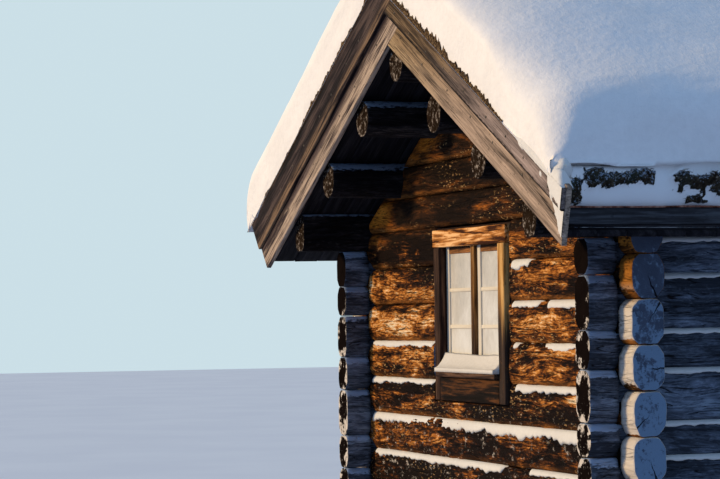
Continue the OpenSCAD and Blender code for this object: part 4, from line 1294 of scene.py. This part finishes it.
def make_snow():
    """One mass of snow a slope, rolled at the eave and rounded over the ridge.

    Both are laid out on the right, and the left one is turned by half a turn.
    """
    near = np.array([0, 0.002, 0.006, 0.013, 0.022, 0.034, 0.048, 0.066, 0.09, 0.12])
    ys = np.concatenate([-SNOW_Y + near, np.linspace(-SNOW_Y + 0.16, SNOW_Y - 0.16, 118),
                         SNOW_Y - near[::-1]])
    for half_turn, word in ((True, "left"), (False, "right")):
        seed = 501 + 30 * half_turn
        grid = snow_surface(ys, seed)
        seat = snow_seat(grid)
        rows, cols = grid.shape[:2]
        faces = sheet_faces(rows, cols, [[(i, cols - 1) for i in range(rows)],
                                         [(i, 0) for i in range(rows - 1, -1, -1)]])
        blocks = [grid.reshape(-1, 3), seat]
        count = 2 * len(seat)
        for row, outward in ((0, -1), (rows - 1, 1)):
            blocks.append(snow_end(grid[row], seat[row * cols:(row + 1) * cols], outward, seed))
            faces.append(grid_quads(SNOW_END_STEPS, cols, outward > 0) + count)
            count += len(blocks[-1])
        points = np.concatenate(blocks)
        points[:, 1] = np.clip(points[:, 1], -SNOW_Y + 0.0005, SNOW_Y - 0.0005)
        build = Build()
        build.add(points * ([-1, -1, 1] if half_turn else 1), faces)
        build.piece(f"{word}_snow_cover", ["snow"], "snow", [f"{word}_roof_snow"])


def snow_plaster(build, end, low_v, high_v, face, reach, lean, seed):
    """Snow stuck in a ragged patch to the low end of a right bargeboard."""
    share, rise = np.meshgrid(np.linspace(0, 1, 30), np.linspace(0, 1, 18), indexing="ij")
    v = low_v + (high_v - low_v) * rise
    x = barge_stop(v, "right") - 0.003 - reach * (1 - share)
    amount = field(seed, 4, x * 18, v * 22, end) * 1.1 + 1.5 * share + lean * rise - 1.35
    y = face + np.minimum(0.016 * smooth(amount + 0.5) - 0.007, 0.0045)
    points = np.stack([-end * x, end * y, on_slope(x, v)], axis=-1)
    build.add(points.reshape(-1, 3), [grid_quads(*x.shape, True)])


def snow_lump(build, end):
    """A lump of snow over the low end of a right bargeboard."""
    turn, tilt = np.meshgrid(np.linspace(0, 2 * math.pi, 25), np.linspace(0, math.pi, 15))
    ball = np.stack([np.sin(tilt) * np.cos(turn), np.sin(tilt) * np.sin(turn), np.cos(tilt)],
                    axis=-1).reshape(-1, 3)
    swell = 1 - 0.22 * np.abs(fbm(ball * 1.6 + end, 85, 3))
    centre = [-end * (EAVE_X - LUMP_IN), end * LUMP_Y, EAVE_TOP + LUMP_H]
    build.add(ball * swell[:, None] * LUMP_RADII + centre, [grid_quads(*turn.shape, True)])


def barge_drift(build, end, top_v):
    """A small drift along the top of a right bargeboard, near its low end."""
    x = np.linspace(EAVE_X - 0.48, barge_stop(top_v, "right") - 0.012, 60)
    share = (x - x[0]) / (x[-1] - x[0])
    swell = field(81, 2, x * 9, end)
    rags = field(83, 2, x * 40, end)
    amount = smooth(np.minimum(share / 0.3, (1 - share) / 0.08))
    height = (0.036 + 0.012 * swell) * amount
    drop = (0.016 + 0.022 * np.clip(swell + rags, 0, 1)) * amount
    section = [(-0.040, -0.006, 0), (-0.036, 0.5, 0), (-0.022, 0.9, 0), (0.0, 1.0, 0),
               (0.014, 0.75, 0), (0.0225, 0.25, 0.2), (0.0232, 0, 0.8), (0.0195, 0, 1.0),
               (0.010, -0.006, 0.3)]
    rows = []
    for y, up, down in section:
        v = top_v + (up if up < 0 else up * height) - down * drop
        rows.append(np.column_stack([-end * x, np.full(len(x), end * (BARGE_Y + y)),
                                     on_slope(x, v)]))
    build.sweep(rows, end < 0)


def make_barge_snow():
    """Snow on each right bargeboard, where the roof's snow comes down to its low end."""
    build = Build()
    top_v = UPPER_V + UPPER_W["right"]
    for end, _ in ENDS:
        snow_plaster(build, end, UPPER_V + 0.002, top_v + 0.004, UPPER_Y, 0.24, 1.3, 77)
        snow_plaster(build, end, UPPER_V - 0.115, UPPER_V + 0.004, BARGE_Y, 0.16, 1.0, 79)
        snow_lump(build, end)
        barge_drift(build, end, top_v)
    build.piece("barge_end_snow", ["ledge_snow"], "snow")


def turf_section():
    """The turf's outline in X and Z on the right, from the eave's board up to the ridge."""
    x0 = EAVE_X - 0.032
    edge = [(x0, on_slope(x0, BARK_TOP_V)), (x0, EAVE_TOP - 0.02)]
    bulge = [(x0 + 0.028 * math.sin(math.pi * min(1, (h + 0.02) / 0.2)), EAVE_TOP + h)
             for h in np.linspace(-0.004, TURF_EDGE_H, 16)]
    top = EAVE_TOP + TURF_EDGE_H + 0.01
    slope = [(x, max(top if x > x0 - 0.1 else 0, on_slope(x, TURF_V)))
             for x in np.linspace(x0 - 0.09, 0.0, 14)]
    return np.array(edge + bulge + slope)


def sod_mask(y, h):
    """Where dark sods show through the snow on the turf's edge: 1 dark, 0 snow."""
    near = y + ROOF_Y
    seed = 601
    rough = field(seed, 4, y * 14, h * 22, seed)
    fine = field(seed + 3, 3, y * 45, h * 60, seed)
    clump = field(seed + 5, 3, y * 8, h * 15, seed)
    crest = field(seed + 6, 3, y * 5, 0, seed)

    def patch(y0, y1, h0, h1, soft):
        gap = np.minimum(np.minimum(near - y0, y1 - near), np.minimum(h - h0, h1 - h))
        return smooth(gap / soft + 0.5 + (rough * 0.5 + fine * 0.5) * 1.3)

    mask = patch(-0.05, 0.085, 0.008, 0.122, 0.020)
    slope = 0.04 * (near - 0.1) + 0.005 * np.sin(23 * near)
    mask = np.maximum(mask, patch(0.100, 0.44, 0.092 + slope, 0.158 + slope, 0.022))
    dense = 0.08 + 0.50 * smooth((h - 0.05) / 0.06)
    lumps = smooth((clump + 0.45 * rough + 0.28 * fine + dense) / 0.22)
    lumps *= smooth((near - HEATHER_FROM - 0.6 * (h - 0.03) + 0.04 * rough) / 0.04)
    lumps *= smooth((0.195 + 0.07 * crest + 0.02 * fine - h) / 0.02) * smooth((h - 0.012) / 0.02)
    return np.clip(np.maximum(mask, lumps), 0, 1)


def heather_reach(y, h):
    """How far the heather stands out of the turf's edge at y and height h."""
    share = smooth((y + ROOF_Y - HEATHER_FROM) / 0.05)
    return HEATHER_OUT * share * smooth((h - 0.08) / 0.08)


def turf_sods(side, word):
    """The turf of a slope, its edge at the eave plastered with snow and broken by dark sods."""
    line = turf_section()
    ys = np.linspace(-ROOF_Y + 0.002, ROOF_Y - 0.002, 420)
    rows, cols = len(ys), len(line)
    flat = np.column_stack([np.tile(line[:, 0], rows), np.repeat(ys, cols),
                            np.tile(line[:, 1], rows)])
    low = flat.copy()
    low[:, 2] = np.minimum(on_slope(low[:, 0], BARK_TOP_V), low[:, 2])
    low[:, 0] *= side
    h = flat[:, 2] - EAVE_TOP
    along = side * flat[:, 1]
    mask = sod_mask(along, h)
    edge_zone = (smooth((flat[:, 0] - (EAVE_X - 0.25)) / 0.10) * (h > -0.012)
                 * (h < TURF_EDGE_H + 0.004))
    rough = fbm(flat * 26 + side * 3, 611, 4)
    drift = fbm(flat * [3, 6, 6] + side * 3, 617, 2)
    flat[:, 0] += edge_zone * (mask * (0.014 + heather_reach(along, h) + 0.022 * rough)
                               + (1 - mask) * 0.008 * drift)
    flat[:, 2] += edge_zone * mask * 0.010 * rough
    low_front = 1 - smooth((along + ROOF_Y - 0.30) / 0.18)
    outer = (flat[:, 0] > line[0, 0] - 0.12) * low_front
    flat[:, 2] -= outer * 0.045 * smooth((h - 0.18) / 0.045)
    flat[:, 0] -= outer * 0.040 * smooth((h - 0.165) / 0.06)
    flat[:, 0] *= side
    look = np.column_stack([mask * edge_zone + (1 - edge_zone), rough, h])
    build = Build()
    build.add(np.concatenate([flat, low]),
              sheet_faces(rows, cols, [rim_path(rows, cols, False)], side < 0), 0, None,
              np.concatenate([look, look]))
    build.piece(f"{word}_turf_sods", ["turf"], "turf", [f"{word}_turf"])


def turf_grass(side, word):
    """Dry grass and heather stems in the dark sods along the eave, each a thin bent spike."""
    spots = np.column_stack([rng.uniform(-ROOF_Y + 0.01, ROOF_Y - 0.05, STEM_TRIES),
                             rng.uniform(0.0, TURF_EDGE_H, STEM_TRIES)])
    y, h = spots[sod_mask(spots[:, 0], spots[:, 1]) > 0.7].T
    count = len(y)
    roots = np.column_stack([EAVE_X - 0.015 + heather_reach(y, h), side * y, EAVE_TOP + h])
    draws = rng.uniform([0.1, -0.9, -0.5, 0.010], [1, 0.9, 1.0, 0.034], (count, 4))
    leans, sizes = draws[:, :3], draws[:, 3:]
    leans = leans / np.linalg.norm(leans, axis=1, keepdims=True)
    across = np.cross(leans, rng.normal(size=leans.shape))
    across /= np.linalg.norm(across, axis=1, keepdims=True)
    width = rng.uniform(0.0012, 0.0030, count)[:, None]
    curl = rng.normal(size=leans.shape) * 0.25
    third = np.cross(leans, across)
    levels = ((roots, 1.0), (roots + leans * sizes * 0.55, 0.8))
    corners = [centre + edge * width * share
               for centre, share in levels for edge in (-across, across, third)]
    points = np.stack(corners + [roots + (leans + curl) * sizes], axis=1)
    points[..., 0] *= side
    first = np.arange(count)[:, None] * points.shape[1]
    quads = np.concatenate([first + [k, (k + 1) % 3, 3 + (k + 1) % 3, 3 + k] for k in range(3)])
    tris = np.concatenate([first + [3 + k, 3 + (k + 1) % 3, 6] for k in range(3)]
                          + [first + [0, 2, 1]])
    look = np.zeros(points.shape)
    look[..., 0] = rng.random(count)[:, None]
    build = Build()
    build.add(points.reshape(-1, 3), [turned(quads, side < 0), turned(tris, side < 0)], 0, None,
              look.reshape(-1, 3))
    build.piece(f"{word}_turf_grass", ["blade"], "turf", smooth=False)


def turf_fringe(end, word):
    """The ragged edge of turf that shows between the bargeboards and the snow."""
    build = Build()
    face = SNOW_Y - 0.0015
    for side, _ in SIDES:
        hand = "left" if side == end else "right"
        top_v = UPPER_V + UPPER_W[hand]
        x = np.arange(0.04, EAVE_X - (0.02 if hand == "left" else 0.60), 0.007)
        coarse = field(621, 2, x * 5, side, end)
        spike = np.abs(field(625, 2, x * 60, side, end))
        reach = np.clip(0.006 + 0.010 * coarse + 0.030 * spike * (0.6 + coarse), 0.003, 0.05)
        if hand == "right":
            reach += (0.006 + 0.030 * spike) * smooth((1.7 - x) / 0.5)
        rows = []
        for depth, v in ((0.03, -0.006), (0.0015, -0.006), (0.0005, 0.2), (0.0, 0.75),
                         (0.004, 1.0), (0.03, 0.9)):
            wiggle = np.abs(0.002 * field(631, 2, x * 40, v * 9))
            height = top_v + (v if v < 0 else reach * v)
            rows.append(np.column_stack([side * x, end * (face - depth - wiggle),
                                         on_slope(x, height)]))
        build.sweep(rows, side * end > 0, [1.0, 0.2, 0.3])
    build.piece(f"{word}_turf_fringe", ["fringe"], "turf")


def make_turf():
    """The turf of both slopes, its grass and its edge at the gables."""
    for side, word in SIDES:
        turf_sods(side, word)
        turf_grass(side, word)
    for end, word in ENDS:
        turf_fringe(end, word)


def one_board(name, looks, slot, node, seed):
    """A piece of one board, where its node lies."""
    build = Build()
    boxed(build, *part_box(node), seed, 0, 0.004)
    build.piece(name, looks, slot, [node])


def casement(word):
    """A casement's two stiles, two rails and two glazing bars."""
    lo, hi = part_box(f"{word}_casement")
    build = Build()
    w, bar = 0.045, 0.020
    for x in (lo[0], hi[0] - w):
        boxed(build, [x, lo[1] + 0.010, lo[2]], [x + w, hi[1], hi[2]], 710)
    # The top rail takes the darker colour: partly painted shade under the lintel.
    for z, slot in ((lo[2], 0), (hi[2] - w, 1)):
        boxed(build, [lo[0] + w, lo[1] + 0.011, z], [hi[0] - w, hi[1], z + w], 714, slot)
    pane = (hi[2] - lo[2] - 2 * w) / 3
    for i in (1, 2):
        z = lo[2] + w + i * pane - bar / 2
        boxed(build, [lo[0] + w, lo[1] + 0.012, z], [hi[0] - w, lo[1] + 0.026, z + bar], 718 + i)
    build.piece(f"{word}_casement_sash", ["sash", "sash_head"], "sash_paint",
                [f"{word}_casement"])


def make_window():
    """The casing's four boards, the sill, the mullion and the two casements."""
    lo, hi = CASING_LO, CASING_HI
    lintel_low = hi[2] - LINTEL_H
    sill_lo, sill_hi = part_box("window_sill")
    casing_in = (sill_hi[0] - sill_lo[0]) / 2
    casing_out = (hi[0] - lo[0]) / 2 - LINTEL_EAR
    build = Build()
    boxed(build, [lo[0], lo[1], lintel_low], hi, 700, 0, 0.005, wobble=0.003)
    for side, _ in SIDES:
        x0, x1 = sorted([WINDOW_X + side * casing_in, WINDOW_X + side * casing_out])
        boxed(build, [x0, lo[1], lo[2]], [x1, hi[1], lintel_low - 0.001], 702 + side,
              2 if side > 0 else 1, 0.005, wobble=0.002)
    boxed(build, [WINDOW_X - casing_in + 0.001, lo[1], lo[2]],
          [WINDOW_X + casing_in - 0.001, hi[1], sill_lo[2] - 0.001], 705, 3, 0.004, wobble=0.002)
    build.piece("window_casing_boards", ["casing", "casing_dark", "casing_right", "apron"],
                "casing_wood", ["window_casing"])
    one_board("window_sill_board", ["casing_dark"], "casing_wood", "window_sill", 706)
    one_board("window_mullion_post", ["mullion"], "casing_wood", "window_mullion", 707)
    for _, word in SIDES:
        casement(word)


def make_sill_snow():
    """The drift on the sill, low in front and steep against the panes."""
    lo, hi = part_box("sill_snow")
    rows, cols, lip = 60, 18, 0.020
    x, t = np.meshgrid(np.linspace(lo[0], hi[0], rows), np.linspace(0, 1, cols), indexing="ij")
    lift = 0.94 + 0.06 * np.cos((x - lo[0]) / (hi[0] - lo[0]) * 5)
    z = lo[2] + lip + (hi[2] - lo[2] - lip) * lift * (0.25 * t + 0.75 * t**2.4)
    top = np.stack([x, lo[1] + (hi[1] - lo[1]) * t, z], axis=-1).reshape(-1, 3)
    top[:, 2] += 0.002 * fbm(top * [20, 60, 20], 801, 3)
    top[:, 2] = np.minimum(top[:, 2], hi[2])
    top[:, 1] += 0.0025 * fbm(top * [16, 40, 40], 803, 3) * (top[:, 1] < lo[1] + 0.01)
    low = top.copy()
    low[:, 2] = lo[2]
    build = Build()
    build.add(np.concatenate([top, low]), sheet_faces(rows, cols, [rim_path(rows, cols, True)]))
    build.piece("sill_snow_drift", ["sill_snow"], "snow", ["sill_snow"])


def stone(build, axis, a0, a1, across, width, z0, z1, seed):
    """One rounded block of stone that fills its place in a course."""
    rings, around, power = 12, 22, 0.32

    def soft(value):
        return np.sign(value) * np.abs(value) ** power

    tilt, turn = np.meshgrid(np.linspace(-math.pi / 2, math.pi / 2, rings),
                             np.linspace(0, 2 * math.pi, around, endpoint=False), indexing="ij")
    unit = np.stack([soft(np.cos(tilt)) * soft(np.cos(turn)),
                     soft(np.cos(tilt)) * soft(np.sin(turn)), soft(np.sin(tilt))], axis=-1)
    unit = unit.reshape(-1, 3)
    bump = 1 + 0.07 * fbm(unit * 1.7 + seed, seed, 3) - 0.05
    local = np.clip(unit * bump[:, None], -1, 1) * [(a1 - a0) / 2, width / 2, (z1 - z0) / 2]
    centre = [(a0 + a1) / 2, across, (z0 + z1) / 2]
    if axis == "y":
        local = local[:, [1, 0, 2]]
        centre = [centre[1], centre[0], centre[2]]
    look = np.tile([rng.random(), 0, 0], (len(local), 1))
    build.add(local + centre, [turned(tube_quads(rings, around), axis == "y")], 0,
              local + centre + seed, look)


def make_foundation():
    """Stones laid dry in the footing's space, in two courses."""
    lo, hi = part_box("foundation")
    build = Build()
    width, joint, bed = 0.30, 0.085, 0.003
    shortest, longest = 0.22, 0.5
    seed = 900
    runs = []
    for z0, z1 in ((lo[2], lo[2] + joint), (lo[2] + joint - bed, hi[2])):
        for s in (-1, 1):
            runs.append(("x", lo[0], hi[0], s * (hi[1] - width / 2), z0, z1))
            runs.append(("y", lo[1] + width, hi[1] - width, s * (hi[0] - width / 2), z0, z1))
    for axis, a0, a1, across, z0, z1 in runs:
        a = a0
        while a < a1 - 0.05:
            size = min(rng.uniform(shortest, longest), a1 - a)
            if a1 - a - size < 0.12:
                size = a1 - a
            seed += 1
            stone(build, axis, a, a + size, across, width, z0, z1, seed)
            a += size
    build.piece("footing_stones", ["stone"], "stone", ["foundation"])


def make_door():
    """The door's five planks and the three boards of its casing."""
    build = Build()
    lo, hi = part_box("door_leaf")
    planks = 5
    width = (hi[0] - lo[0]) / planks
    for i in range(planks):
        x = lo[0] + i * width
        boxed(build, [x + 0.001, lo[1], lo[2]], [x + width - 0.001, hi[1], hi[2]], 1000 + i, 0,
              0.005, 2)
    build.piece("door_planks", ["casing_dark"], "casing_wood", ["door_leaf"])
    build = Build()
    lo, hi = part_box("door_casing")
    head, out, casing_w = hi[2] - LINTEL_H, hi[0] - LINTEL_EAR, 0.11
    for side, _ in SIDES:
        x0, x1 = sorted([side * (out - casing_w), side * out])
        boxed(build, [x0, lo[1], lo[2]], [x1, hi[1], head], 1010 + side, 0, 0.004, 2)
    boxed(build, [lo[0], lo[1], head], hi, 1013, 0, 0.004)
    build.piece("door_casing_boards", ["casing"], "casing_wood", ["door_casing"])


def dress_nodes():
    """Materials for the CAD nodes that stay."""
    for node, key in KEPT_NODES.items():
        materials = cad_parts[node].data.materials
        materials.clear()
        materials.append(MAT[key])


def make_floor():
    """A plain pale floor. The light that bounces from it is bluer than it looks."""
    mesh = bpy.data.meshes.new("studio_floor")
    corners = [(-1, -1), (1, -1), (1, 1), (-1, 1)]
    mesh.from_pydata([(x * FLOOR_HALF, y * FLOOR_HALF, 0) for x, y in corners], [], [(0, 1, 2, 3)])
    floor = bpy.data.objects.new("studio_floor", mesh)
    bpy.context.scene.collection.objects.link(floor)
    s = Shader("studio_floor_mat", 0.9)
    tone = s.noise(s.place, 0.6, 3, 0.5).span(0.3, 0.7)
    colour = s.mix(tone, (0.70, 0.72, 0.75), (0.74, 0.76, 0.78))
    mesh.materials.append(s.finish(s.mix(s.seen(), FLOOR_BOUNCE, colour)))


def make_world():
    """A soft blue surround, which shows as a pale backdrop to the camera and in gloss."""
    world = bpy.data.worlds.new("studio")
    bpy.context.scene.world = world
    world.use_nodes = True
    tree = Tree(world.node_tree)
    colour = tree.mix(tree.seen(), FILL_COLOUR, BACKDROP_COLOUR)
    world.node_tree.links.new(colour.socket, world.node_tree.nodes["Background"].inputs["Color"])


def make_key():
    """A low warm sun from the left of the window gable."""
    aim = Vector((math.cos(KEY_LIFT) * math.sin(KEY_TURN), math.cos(KEY_LIFT) * math.cos(KEY_TURN),
                  -math.sin(KEY_LIFT)))
    data = bpy.data.lights.new("key", "SUN")
    data.energy = KEY_LEVEL * math.pi
    data.angle = KEY_SPREAD
    data.color = KEY_COLOUR
    lamp = bpy.data.objects.new("key", data)
    lamp.rotation_euler = aim.to_track_quat("-Z", "Y").to_euler()
    bpy.context.scene.collection.objects.link(lamp)


def make_camera():
    """The photograph's viewpoint, worked out from the cabin's own straight edges."""
    joint = FOOT_TOP + 4 * COURSE
    spot = (12.299, -4.851 - HALF_L, joint + 0.573)
    yaw, pitch, roll = (math.radians(a) for a in (161.03, 1.73, -0.733))
    ahead = Vector((math.cos(pitch) * math.cos(yaw), math.cos(pitch) * math.sin(yaw),
                    math.sin(pitch)))
    level = Vector((math.sin(yaw), -math.cos(yaw), 0))
    above = level.cross(ahead)
    right = math.cos(roll) * level + math.sin(roll) * above
    up = math.cos(roll) * above - math.sin(roll) * level
    data = bpy.data.cameras.new("camera")
    data.lens = 125.0
    data.sensor_width = 36.0
    camera = bpy.data.objects.new("camera", data)
    turn = Matrix((right, up, -ahead)).transposed().to_4x4()
    camera.matrix_world = Matrix.Translation(spot) @ turn
    bpy.context.scene.collection.objects.link(camera)
    bpy.context.scene.camera = camera


make_camera()
make_floor()
make_world()
make_key()
make_logs()
make_roof_boards()
make_bargeboards()
make_eave_boards()
make_turf()
make_snow()
make_barge_snow()
make_ledge_snow()
make_window()
make_sill_snow()
make_foundation()
make_door()
dress_nodes()

bpy.context.scene.view_settings.view_transform = "Standard"
